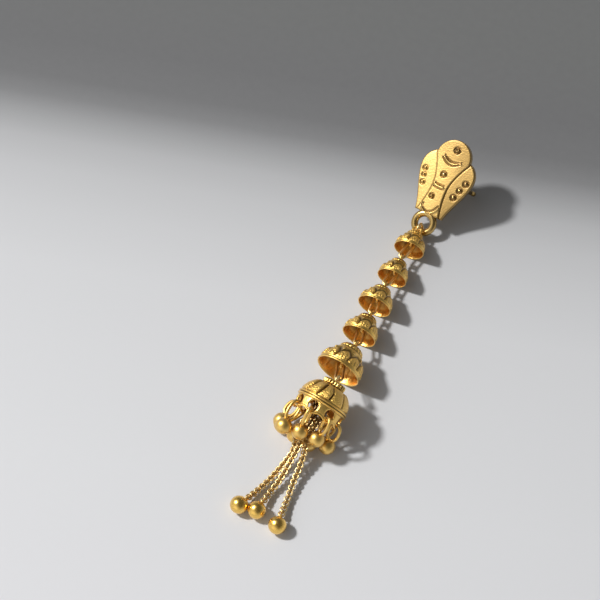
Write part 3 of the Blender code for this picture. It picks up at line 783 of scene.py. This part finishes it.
def turned_points(profile, angles, push):
    """Rings of a turned profile, moved out along its own normals by push."""
    slope = np.gradient(profile, axis=0)
    length = np.maximum(np.hypot(slope[:, 0], slope[:, 1]), 1e-9)
    out_z = (slope[:, 1] / length)[:, None]
    out_r = (-slope[:, 0] / length)[:, None]
    z = profile[:, :1] + push * out_z
    radius = np.maximum(profile[:, 1:] + push * out_r, 0.002)
    return np.stack((radius * np.cos(angles), radius * np.sin(angles), z + 0.0 * radius), -1)


def bell_relief(number, mouth, height, angles, share, radius):
    """Push, painted shade and grain of petals with round tops, slots darkened with painted shade, and
    engraved feet.
    """
    scale = mouth / MARKS_MOUTH_RADIUS
    count, first = BELL_PETALS[number - 1]
    turned = angles - radians(BELL_TWIST) * share - radians(first)
    t = (turned * count / (2.0 * pi) + 0.5) % 1.0
    half = pi * radius / count
    aside = (2.0 * t - 1.0) * half
    above = np.maximum(share - PETAL_WIDEST, 0.0) * height
    reach = half * (1.0 - 0.25 * smooth_step(share, PETAL_WIDEST, 0.56))
    inset = reach - np.hypot(aside, above * reach / (PETAL_REACH * height))
    below_crown = 1.0 - smooth_step(share, 0.64, 0.70)
    field = smooth_step(share, 0.13, 0.19) * below_crown
    dome = smooth_step(inset, 0.0, 0.42 * scale)
    lean = PETAL_LEAN * aside / half
    push = scale * field * (PETAL_RISE * dome * (1.0 + lean) - PETAL_SUNK)

    # The groove round each petal opens into slots at its shoulders, both darkened with painted shade
    shoulder = bump_at((share - PETAL_SHOULDER) * height, 0.42 * scale)
    groove_width = (GROOVE_WIDTH + SHOULDER_GROOVE_WIDTH * shoulder) * scale
    groove = bump_at(inset, groove_width) * field
    push -= GROOVE_DEPTH * scale * groove
    painted_shade = groove * (0.9 + 0.1 * shoulder)

    # A small granule stands above each gap between two petals, and fine ribs run over the crown;
    # painted shade rings each granule and lies between the ribs
    gap = ((t + 0.5) % 1.0 - 0.5) * 2.0 * half
    granule = np.hypot(gap, (share - GRANULE_HEIGHT) * height) / (GRANULE_RADIUS * scale)
    rise = np.sqrt(np.clip(1.0 - granule ** 2, 0.0, 1.0)) * below_crown
    push += GRANULE_RISE * scale * rise
    painted_shade = np.maximum(painted_shade, 0.85 * bump_at(granule - 1.2, 0.25) * below_crown)
    crown = between(share, 0.74, 0.78, 0.9, 0.95)
    ribs = np.abs(np.cos(angles * CROWN_RIBS / 2.0))
    push += CROWN_RIB_DEPTH * scale * crown * (ribs - 0.6)
    painted_shade = np.maximum(painted_shade, 0.55 * crown * (1.0 - smooth_step(ribs, 0.2, 0.7)))

    # Slanting lines are engraved on the foot of each petal, and painted shade lies in them
    place = aside / (FOOT_LINE_SPACING * scale) + share * height / (FOOT_LINE_SLANT * scale)
    lines = np.clip(np.cos(2.0 * pi * place), 0.0, 1.0) ** 3
    lines = lines * between(share, 0.14, 0.18, 0.26, 0.38)
    lines = lines * smooth_step(inset, 0.08 * scale, 0.2 * scale)
    push -= FOOT_LINE_DEPTH * scale * lines
    painted_shade = np.maximum(painted_shade, 0.7 * lines)
    grain = field * smooth_step(inset, 0.0, 0.15) + 0.3 * (share > 0.78)
    return push, painted_shade, grain


def turned_grid(outer, inner, columns):
    """The profile of a hollow turned body, its angles, and which of its rows are outside."""
    profile = np.vstack((outer, inner))
    angles = np.linspace(0.0, 2.0 * pi, columns, endpoint=False)[None, :]
    is_outer = (np.arange(len(profile)) < len(outer))[:, None]
    return profile, angles, is_outer


def make_bell(number, bell, material):
    mouth = bell["mouth_radius"]
    height = bell["height"]
    scale = mouth / MARKS_MOUTH_RADIUS
    outside = [(height * z, mouth * r) for z, r in BELL_OUTSIDE]
    inside = [(height * z, mouth * r) for z, r in BELL_INSIDE]
    outer = soft_profile(outside, 0.05 * scale, 0.045 * scale)
    inner = soft_profile(inside, 0.09 * scale, 0.05)
    profile, angles, is_outer = turned_grid(outer, inner, BELL_COLUMNS)
    share = profile[:, :1] / height
    push, painted_shade, grain = bell_relief(number, mouth, height, angles, share, profile[:, 1:])
    # Inside, the petals show faintly as hollows, with faint painted shade
    push = np.where(is_outer, push, -0.35 * push)
    painted_shade = np.where(is_outer, painted_shade, 0.3 * painted_shade)
    # Lines of painted shade run round in the creases above the rim and below the crown
    for line_share, width, strength in ((0.08, 0.04, 0.5), (0.745, 0.07, 0.8)):
        line = bump_at((share - line_share) * height, width * scale)
        painted_shade = np.maximum(painted_shade, line * is_outer * strength)
    # Painted shade deepens towards the crown inside the bell, and the inside gets painted warm bounce
    # light
    depth = np.where(is_outer, 0.0, np.clip(share / INNER_TOP, 0.0, 1.0))
    painted_shade = np.maximum(painted_shade, 0.95 * smooth_step(depth, 0.3, 0.9))
    painted_bounce = smooth_step(depth, 0.02, 0.12) + 0.0 * painted_shade
    values = np.stack((painted_shade, grain * is_outer, painted_bounce), -1)

    shape = Shape()
    add_skin(shape, turned_points(profile, angles, push), values)
    origin = (bell["x"], bell["y"], mouth * cos(radians(bell["rise"])) + FLOOR_GAP)
    placing = lying_frame(origin, bell["heading"], bell["rise"])
    loop_top = INNER_TOP * height + LOOP_SUNK
    ends = add_hanging_loops(
        shape, placing, height + EYE_STAND, loop_top, bell["inner_loop_length"], number == 1
    )
    shape.move(placing)
    new_piece(f"bell_{number}_gold", shape, material, "satin_gold", f"bell_{number}")
    return ends


def scallop_lift(angles):
    """How far the skirt's edge is drawn up between two scallops."""
    return SCALLOP_DEPTH * (1.0 - np.cos(len(FRINGE_BALLS) * (angles - radians(FIRST_HOLE)))) / 2.0


def place_between_seams(angles, levels):
    """Which petal of the dome a point is on, how far across it, and its width in turns."""
    seams = np.array(DOME_SEAMS)
    seams = np.vstack((seams, seams[0] + 360.0))
    petal = np.zeros(np.broadcast(angles, levels).shape)
    width = np.zeros(petal.shape)
    for row, level in enumerate(levels[:, 0]):
        here = np.array([np.interp(level, SEAM_LEVELS, seam) for seam in seams])
        turned = (np.degrees(angles[0]) - here[0]) % 360.0 + here[0]
        petal[row] = np.interp(turned, here, np.arange(len(here)))
        width[row] = np.diff(here)[np.minimum(petal[row].astype(int), len(here) - 2)] / 360.0
    number = np.minimum(petal.astype(int), len(seams) - 2)
    return number, petal - number, width


def hole_angle(number):
    return radians(FIRST_HOLE + 360.0 * number / len(FRINGE_BALLS))


def hole_direction(number):
    """Which way hole number 0 to 7 looks, in the dome's frame."""
    return Vector((cos(hole_angle(number)), sin(hole_angle(number)), 0.0))


def dome_relief(level, radius, angles, is_outer):
    """Push, painted shade and grain of the dome, and how far its scallops draw each point up."""
    petals = between(level, 0.5, 0.8, 3.05, 3.25) * is_outer
    number, t, turns = place_between_seams(angles, level)
    width = 2.0 * pi * radius * turns
    push = DOME_PETAL_RISE * petals * np.interp(t, *zip(*DOME_PETAL_PROFILE))
    seam = bump_at(np.minimum(t, 1.0 - t) * width, SEAM_WIDTH) * petals
    push -= SEAM_DEPTH * seam
    # Painted shade lies along the seams
    painted_shade = seam

    # The seam in front opens into a slot towards its top, darkened with painted shade
    slot_width = SLOT_WIDTH * smooth_step(level, 0.9, 2.6)
    before_seam = (1.0 - t) * width
    slot = np.clip((slot_width - before_seam) / 0.12, 0.0, 1.0) * (number == 0) * petals
    slot = slot * (1.0 - smooth_step(level, 2.9, 3.1))
    push -= SLOT_DEPTH * slot
    painted_shade = np.maximum(painted_shade, 0.8 * slot)

    # The collar is fluted, with painted shade between its flutes, and lines of painted shade run round
    # in the creases beside it and beside the band
    flutes = between(level, 3.36, 3.5, 4.12, 4.24) * is_outer
    ribs = np.abs(np.cos(angles * COLLAR_FLUTES / 2.0))
    push += FLUTE_DEPTH * flutes * (ribs - 0.6)
    painted_shade = np.maximum(painted_shade, 0.85 * flutes * (1.0 - smooth_step(ribs, 0.2, 0.65)))
    for line_level, line_width, strength in DOME_LINES:
        line = bump_at(level - line_level, line_width)
        painted_shade = np.maximum(painted_shade, strength * line * is_outer)

    # The edge follows the scallops, and each hole's rim is rounded in
    near_edge = smooth_step(-level, 0.5, SKIRT_DEPTH)
    lift = near_edge * scallop_lift(angles)
    for hole in range(len(FRINGE_BALLS)):
        sideways = ((angles - hole_angle(hole) + pi) % (2.0 * pi) - pi) * radius
        away = np.hypot(sideways, level + lift + HOLE_DEPTH)
        rim = bump_at(np.maximum(away - HOLE_RADIUS, 0.0), HOLE_RIM_WIDTH)
        push -= HOLE_RIM_DEPTH * rim * (np.abs(level + HOLE_DEPTH) < 1.3)

    grain = petals * 0.9 + 0.25 * is_outer * (level < -0.5)
    return push, painted_shade, grain, lift


def make_dome(material):
    outer = soft_profile(DOME_OUTSIDE, 0.055, 0.035)
    inner = soft_profile(DOME_INSIDE, 0.1, 0.08)
    profile, angles, is_outer = turned_grid(outer, inner, DOME_COLUMNS)
    level = profile[:, :1]
    push, painted_shade, grain, lift = dome_relief(level, profile[:, 1:], angles, is_outer)
    inner_height = DOME_INSIDE[-1][0] + SKIRT_DEPTH
    depth = np.where(is_outer, 0.0, np.clip((level + SKIRT_DEPTH) / inner_height, 0.0, 1.0))
    # Painted shade deepens towards the crown inside the dome, and the inside gets painted warm bounce
    # light
    painted_shade = np.maximum(painted_shade, 0.75 * depth ** 1.5)
    values = np.stack(np.broadcast_arrays(painted_shade, grain, smooth_step(depth, 0.0, 0.06)), -1)
    points = turned_points(profile, angles, push)
    points[..., 2] += lift
    shape = Shape()
    add_skin(shape, points, values)

    placing = dome_frame()
    shape.move(placing)
    dome = new_piece("dome_gold", shape, material, "satin_gold", "dome")
    drills = Shape()
    drill = ((0.0, HOLE_RADIUS), (1.0, HOLE_RADIUS))
    for hole in range(len(FRINGE_BALLS)):
        start = hole_direction(hole) * DRILL_FROM - Z_AXIS * HOLE_DEPTH
        end = hole_direction(hole) * DRILL_TO - Z_AXIS * HOLE_DEPTH
        # The holes' walls get painted shade
        add_bar(drills, start, end, drill, 40, HOLE_WALL_PAINTED_SHADE)
    drills.move(placing)
    cut_out(dome, drills)

    wires = Shape()
    loop_top = DOME_LOOP_CENTRE + DOME_LOOP_LENGTH / 2.0
    eye, _ = add_hanging_loops(wires, placing, COLLAR_TOP + EYE_STAND, loop_top, DOME_LOOP_LENGTH)
    wires.move(placing)
    return eye, wires


def cut_out(piece, drills):
    """Takes the drills' bodies out of a piece, and leaves the piece as plain mesh."""
    tool = new_object("drills", mesh_of("drills", drills))
    step = piece.modifiers.new("holes", "BOOLEAN")
    step.operation = "DIFFERENCE"
    step.solver = "MANIFOLD"
    step.object = tool
    seen = bpy.context.evaluated_depsgraph_get()
    holed = bpy.data.meshes.new_from_object(piece.evaluated_get(seen))
    holed.name = piece.name
    piece.modifiers.clear()
    piece.data = holed
    holed.set_sharp_from_angle(angle=radians(HOLE_SHARP_ANGLE))
    bpy.data.objects.remove(tool)


# Links, fringe and tails

def make_link(number, upper, lower, half_width, material):
    """A wire oval through the round ends of two loops."""
    ends = []
    wire_run = Vector()
    for loop, other in ((upper, lower), (lower, upper)):
        towards = other["centre"] - loop["centre"]
        towards -= loop["normal"] * towards.dot(loop["normal"])
        towards.normalize()
        ends.append(loop["centre"] + towards * loop["radius"])
        run = loop["normal"].cross(towards)
        wire_run += run if run.dot(wire_run) >= 0.0 else -run
    along = (ends[1] - ends[0]).normalized()
    first = ends[0] - along * (upper["wire"] + WIRE_GAP + FINE_WIRE_RADIUS)
    last = ends[1] + along * (lower["wire"] + WIRE_GAP + FINE_WIRE_RADIUS)
    shape = Shape()
    half_length = (last - first).length / 2.0
    across = along.cross(wire_run)
    add_wire_loop(shape, (first + last) / 2.0, along, across, half_length, half_width, FINE_WIRE_RADIUS)
    new_piece(f"link_{number}_gold", shape, material, "satin_gold", f"link_{number}")


def make_fringe(material):
    placing = dome_frame()
    for number, ball in enumerate(FRINGE_BALLS):
        outward = (placing.to_3x3() @ hole_direction(number)).normalized()
        centre = Vector(ball)
        hole = placing @ (hole_direction(number) * STRIP_RADIUS - Z_AXIS * HOLE_DEPTH)
        over_wall = centre - hole
        over_wall -= outward * over_wall.dot(outward)
        strip = hole + over_wall.normalized() * STRIP_FROM_HOLE
        towards = (centre - strip).normalized()
        anchor = strip - towards * STRIP_TO_HOOP_END
        sunk_end = centre - towards * (FRINGE_BALL_RADIUS - HOOP_SUNK)
        is_lowest = number == len(FRINGE_BALLS) // 2
        half_width = LOWEST_HOOP_HALF_WIDTH if is_lowest else HOOP_HALF_WIDTH
        middle = (anchor + sunk_end) / 2.0
        half_length = (sunk_end - anchor).length / 2.0
        shape = Shape()
        add_bowed_loop(
            shape, middle, towards, outward, half_length, half_width, HOOP_WIRE_RADIUS, HOOP_SQUARENESS
        )
        add_ball(shape, centre, FRINGE_BALL_RADIUS, 72, 36)
        node = f"bead_drop_{number + 1}"
        new_piece(f"{node}_gold", shape, material, "polished_gold", node)


def smooth_route(points, spacing):
    """Evenly spaced points along a smooth curve through the given ones."""
    ends = [points[0] * 2.0 - points[1]] + points + [points[-1] * 2.0 - points[-2]]
    route = []
    for before, here, there, after in zip(ends, ends[1:], ends[2:], ends[3:]):
        for t in np.linspace(0.0, 1.0, 60, endpoint=False):
            bent = before * 2.0 - here * 5.0 + there * 4.0 - after
            bent_more = here * 3.0 - before - there * 3.0 + after
            place = here * 2.0 + (there - before) * t + bent * t ** 2 + bent_more * t ** 3
            route.append(place * 0.5)
    route = np.array(route + [points[-1]])
    length = np.linalg.norm(np.diff(route, axis=0), axis=1).sum()
    return even_points(route, count=round(length / spacing) + 1)


def add_chain(shape, route, last_across):
    """Squarish links along a route, each a quarter turn from the next; the last one is level."""
    count = len(route)
    across = Vector(last_across)
    for k in range(count - 1, -1, -1):
        along = Vector(route[min(k + 1, count - 1)] - route[max(k - 1, 0)]).normalized()
        across = (across - along * along.dot(across)).normalized()
        back = count - 1 - k
        turn = radians(90.0 * back + CHAIN_TURN * min(back / 10.0, 1.0))
        side = across * cos(turn) + along.cross(across) * sin(turn)
        # Painted shade: links inside the dome are dark, and every second link stays a little darker
        from_ring = k * CHAIN_PITCH / LINK_SHADE_LENGTH
        link_shade = max(0.45 * (back % 2), min(1.2 - from_ring, 1.0))
        add_bowed_loop(
            shape, route[k], along, side, CHAIN_HALF_LENGTH, CHAIN_HALF_WIDTH, CHAIN_WIRE_RADIUS,
            CHAIN_SQUARENESS, points=20, sides=8, painted_shade=link_shade,
        )


def make_tails(wire_material, ball_material):
    placing = dome_frame()
    ring_centre = DOME_LOOP_CENTRE - DOME_LOOP_LENGTH / 2.0 + FINE_WIRE_RADIUS + WIRE_GAP
    ring_centre += TAIL_RING_WIRE_RADIUS - TAIL_RING_RADIUS
    shape = Shape()
    centre = Z_AXIS * ring_centre
    add_wire_ring(shape, centre, Z_AXIS, Y_AXIS, TAIL_RING_RADIUS, TAIL_RING_WIRE_RADIUS)
    shape.move(placing)
    new_piece("tail_ring_gold", shape, wire_material, "satin_gold", "tail_ring")
    below_ring = ring_centre - TAIL_RING_RADIUS - TAIL_RING_WIRE_RADIUS - WIRE_GAP

    for number, (route, ball) in enumerate(zip(TAIL_ROUTES, END_BALLS), start=1):
        sideways = (number - 2) * TAIL_SPACING
        points = [placing @ Vector((0.0, sideways, below_ring))]
        points += [Vector(point) for point in route]
        centre = Vector((ball[0], ball[1], END_BALL_RADIUS))
        back = (points[-1] - centre).normalized()
        eye_centre = centre + back * (END_BALL_RADIUS + 0.5 * END_EYE_RADIUS)
        last_link = eye_centre + back * CHAIN_PITCH
        links = Shape()
        route = smooth_route(points + [last_link], CHAIN_PITCH)
        add_chain(links, route, back.cross(Z_AXIS))
        add_connector(links, placing, ring_centre, sideways, Vector(route[0]))
        node = f"tail_chain_{number}"
        new_piece(f"{node}_links", links, wire_material, "satin_gold", node)

        shape = Shape()
        add_ball(shape, centre, END_BALL_RADIUS, 80, 40)
        add_wire_ring(shape, eye_centre, back, Z_AXIS, END_EYE_RADIUS, END_EYE_WIRE_RADIUS, 40, 14)
        node = f"tail_ball_{number}"
        new_piece(f"{node}_gold", shape, ball_material, "polished_gold", node)


def add_connector(shape, placing, ring_centre, sideways, first_link):
    """A small oval that joins a chain's first link to the ring."""
    drop = -((TAIL_RING_RADIUS ** 2 - sideways ** 2) ** 0.5)
    on_ring = placing @ Vector((0.0, sideways, ring_centre + drop))
    along = (first_link - on_ring).normalized()
    start = on_ring - along * (TAIL_RING_WIRE_RADIUS + CHAIN_WIRE_RADIUS + CONNECTOR_GAP)
    end = first_link - along * (CHAIN_HALF_LENGTH - 2.0 * CHAIN_WIRE_RADIUS - CONNECTOR_GAP)
    add_wire_loop(
        shape, (start + end) / 2.0, along, placing.to_3x3() @ X_AXIS, (end - start).length / 2.0,
        CONNECTOR_HALF_WIDTH, CHAIN_WIRE_RADIUS, 32, 10,
    )


# Materials

def connect(tree, socket, value):
    """Feeds a socket from another node's output, or sets it to a fixed value."""
    if isinstance(value, bpy.types.NodeSocket):
        tree.links.new(value, socket)
    else:
        socket.default_value = value


def feed(tree, node, **inputs):
    """Sets or links a node's named inputs, and returns the node."""
    for name, value in inputs.items():
        connect(tree, node.inputs[name.replace("_", " ")], value)
    return node


def new_node(tree, kind, **inputs):
    return feed(tree, tree.nodes.new("ShaderNode" + kind), **inputs)


def mix_colour(tree, factor, first, second, how="MIX"):
    node = new_node(tree, "Mix")
    node.data_type = "RGBA"
    node.blend_type = how
    connect(tree, node.inputs[0], factor)
    connect(tree, node.inputs[6], first)
    connect(tree, node.inputs[7], second)
    return node.outputs[2]


def math_node(tree, how, first, second):
    node = new_node(tree, "Math")
    node.operation = how
    connect(tree, node.inputs[0], first)
    connect(tree, node.inputs[1], second)
    return node.outputs[0]


def dot_product(tree, value, direction):
    node = new_node(tree, "VectorMath", Vector=value)
    node.operation = "DOT_PRODUCT"
    node.inputs[1].default_value = direction
    return node.outputs["Value"]


def noise(tree, coordinates, scale, detail=3.0):
    node = new_node(tree, "TexNoise", Vector=coordinates, Scale=scale, Detail=detail)
    return node.outputs["Fac"]


def surface_value(tree, label):
    node = new_node(tree, "Attribute")
    node.attribute_name = label
    return node.outputs["Fac"]


def start_material(name):
    """A new material, its tree, its shader and the object's coordinates."""
    material = bpy.data.materials.new(name)
    material.use_nodes = True
    tree = material.node_tree
    coordinates = new_node(tree, "TexCoord").outputs["Object"]
    return material, tree, tree.nodes["Principled BSDF"], coordinates


def add_bump(tree, shader, height, strength, distance):
    bump = new_node(tree, "Bump", Height=height, Strength=strength, Distance=distance)
    feed(tree, shader, Normal=bump.outputs["Normal"])


def gold_material(name, light, dark, roughness, grain_roughness, fine_bump, stipple_depth):
    """Gold with painted shade where the shade value says, stippled where grained, and with painted warm
    bounce light inside bells.
    """
    material, tree, shader, coordinates = start_material(name)
    grain = surface_value(tree, "grain")
    painted_shade = math_node(tree, "MULTIPLY", surface_value(tree, "painted_shade"), PAINTED_SHADE_STRENGTH)
    tone = noise(tree, coordinates, TONE_SCALE)
    colour = mix_colour(tree, tone, (*light, 1.0), (*dark, 1.0))
    # Painted warm bounce light inside, then painted shade
    colour = mix_colour(tree, surface_value(tree, "inside"), colour, PAINTED_BOUNCE_COLOUR)
    colour = mix_colour(tree, painted_shade, colour, PAINTED_SHADE_COLOUR)

    blotches = math_node(tree, "MULTIPLY", noise(tree, coordinates, BLOTCH_SCALE), ROUGHNESS_SPREAD)
    rough = math_node(tree, "ADD", blotches, roughness - ROUGHNESS_SPREAD / 2.0)
    rough = math_node(tree, "ADD", rough, math_node(tree, "MULTIPLY", grain, grain_roughness))
    feed(tree, shader, Base_Color=colour, Metallic=1.0, Roughness=rough)
    feed(tree, shader, Coat_Weight=COAT_WEIGHT, Coat_Roughness=COAT_ROUGHNESS)

    dots = new_node(tree, "TexVoronoi", Vector=coordinates, Scale=STIPPLE_SCALE)
    stipple = math_node(tree, "MULTIPLY", dots.outputs["Distance"], grain)
    fine = math_node(tree, "MULTIPLY", noise(tree, coordinates, FINE_SCALE, 2.0), fine_bump)
    add_bump(tree, shader, math_node(tree, "ADD", stipple, fine), 0.9, stipple_depth)
    return material


def distance_share(tree, coordinates, direction):
    """Where a point is along a level direction: 0 and 1 are a reach before and past the target."""
    middle = direction.dot(CAMERA_TARGET) / FLOOR_SHADE_REACH
    here = dot_product(tree, coordinates, direction / METRES_PER_MM / FLOOR_SHADE_REACH)
    limits = {"From_Min": middle - 1.0, "From_Max": middle + 1.0}
    return new_node(tree, "MapRange", Value=here, **limits).outputs["Result"]


def floor_material():
    """A pale matt surface that falls into soft shade towards the top of the picture."""
    material, tree, shader, coordinates = start_material("pale_floor")
    right = pointing(90.0 - CAMERA_AZIMUTH)
    slant = (pointing(-CAMERA_AZIMUTH) + right * FLOOR_SHADE_SLANT).normalized()
    shade = distance_share(tree, coordinates, slant)
    ramp = new_node(tree, "ValToRGB", Fac=shade)
    stops = ramp.color_ramp.elements
    stops[0].color = FLOOR_NEAR_COLOUR
    stops[1].color = FLOOR_FAR_COLOUR
    for position, grey in FLOOR_GREYS:
        stops.new(position).color = (*(grey * part for part in FLOOR_TINT), 1.0)
    # Painted shade: the floor also darkens a little towards the right
    share = distance_share(tree, coordinates, right)
    fall = math_node(tree, "MULTIPLY", share, FLOOR_FALL_TO_RIGHT)
    toned = new_node(tree, "VectorMath", Vector=ramp.outputs["Color"])
    toned.operation = "SCALE"
    feed(tree, toned, Scale=math_node(tree, "SUBTRACT", FLOOR_LEFT_BRIGHTNESS, fall))
    speckle = math_node(tree, "MULTIPLY", noise(tree, coordinates, FLOOR_SPECKLE_SCALE), 0.04)
    colour = mix_colour(tree, speckle, toned.outputs[0], (0.5, 0.5, 0.5, 1.0))
    feed(tree, shader, Base_Color=colour, Roughness=0.75, Specular_IOR_Level=0.2)
    add_bump(tree, shader, noise(tree, coordinates, FLOOR_BUMP_SCALE), 0.15, FLOOR_BUMP_METRES)
    return material


# Floor, light and camera

def make_floor():
    half = FLOOR_HALF_METRES
    corners = [(-half, -half, 0), (half, -half, 0), (half, half, 0), (-half, half, 0)]
    mesh = bpy.data.meshes.new("floor")
    mesh.from_pydata(corners, [], [(0, 1, 2, 3)])
    mesh.materials.append(floor_material())
    new_object("floor", mesh)


def make_light():
    sun = bpy.data.lights.new("key", "SUN")
    sun.energy = SUN_STRENGTH
    sun.angle = radians(SUN_ANGLE)
    sun.color = SUN_COLOUR
    key = new_object("key", sun)
    key.rotation_euler = LIGHT_DIRECTION.to_track_quat("Z", "Y").to_euler()

    world = bpy.data.worlds.new("studio")
    world.use_nodes = True
    bpy.context.scene.world = world
    tree = world.node_tree
    looking = new_node(tree, "TexCoord").outputs["Generated"]
    parts = new_node(tree, "SeparateXYZ", Vector=looking)
    glow = world_ramp(tree, dot_product(tree, looking, LIGHT_DIRECTION), SUN_GLOW)
    sky = world_ramp(tree, parts.outputs["Z"], SKY_BAND)
    front = world_ramp(tree, dot_product(tree, looking, FRONT_LIGHT_DIRECTION), FRONT_GLOW)
    light = mix_colour(tree, 1.0, glow, sky, "ADD")
    light = mix_colour(tree, 1.0, light, front, "ADD")
    feed(tree, tree.nodes["Background"], Color=light)


def world_ramp(tree, value, stops):
    """Neutral light that follows a value through the given places and strengths."""
    ramp = new_node(tree, "ValToRGB", Fac=value)
    elements = ramp.color_ramp.elements
    elements[0].position = stops[0][0]
    elements[-1].position = stops[-1][0]
    for place, _ in stops[1:-1]:
        elements.new(place)
    for element, (_, strength) in zip(elements, stops):
        element.color = (strength, strength * 0.99, strength * 0.97, 1.0)
    return ramp.outputs["Color"]


def make_camera():
    back = pointing(180.0 - CAMERA_AZIMUTH, CAMERA_ELEVATION)
    lens = bpy.data.cameras.new("camera")
    lens.angle = 2.0 * atan(PICTURE_PIXELS / 2.0 / (PIXELS_PER_MM * CAMERA_DISTANCE))
    lens.clip_start = 0.01
    lens.clip_end = 10.0
    camera = new_object("camera", lens)
    camera.location = (CAMERA_TARGET + back * CAMERA_DISTANCE) * METRES_PER_MM
    camera.rotation_euler = back.to_track_quat("Z", "Y").to_euler()
    bpy.context.scene.camera = camera


def main():
    golds = {name: gold_material(name, *values) for name, values in GOLDS.items()}
    satin = golds["satin_gold"]
    painted_light_wire_gold = golds["wire_gold_painted_lighter"]
    upper = make_ear_plate(golds["plate_gold"])
    half_width = RING_LINK_HALF_WIDTH
    for number, values in enumerate(BELLS, start=1):
        eye, loop = make_bell(number, dict(zip(BELL_FIELDS, values)), satin)
        make_link(number, upper, eye, half_width, painted_light_wire_gold)
        upper = loop
        half_width = LINK_HALF_WIDTH
    dome_eye, dome_wires = make_dome(satin)
    new_piece("dome_wires", dome_wires, painted_light_wire_gold, "satin_gold")
    make_link(len(BELLS) + 1, upper, dome_eye, half_width, painted_light_wire_gold)
    make_fringe(golds["pearly_ball_gold"])
    make_tails(painted_light_wire_gold, golds["polished_ball_gold"])
    make_floor()
    make_light()
    make_camera()
    bpy.context.scene.view_settings.view_transform = "Standard"


main()
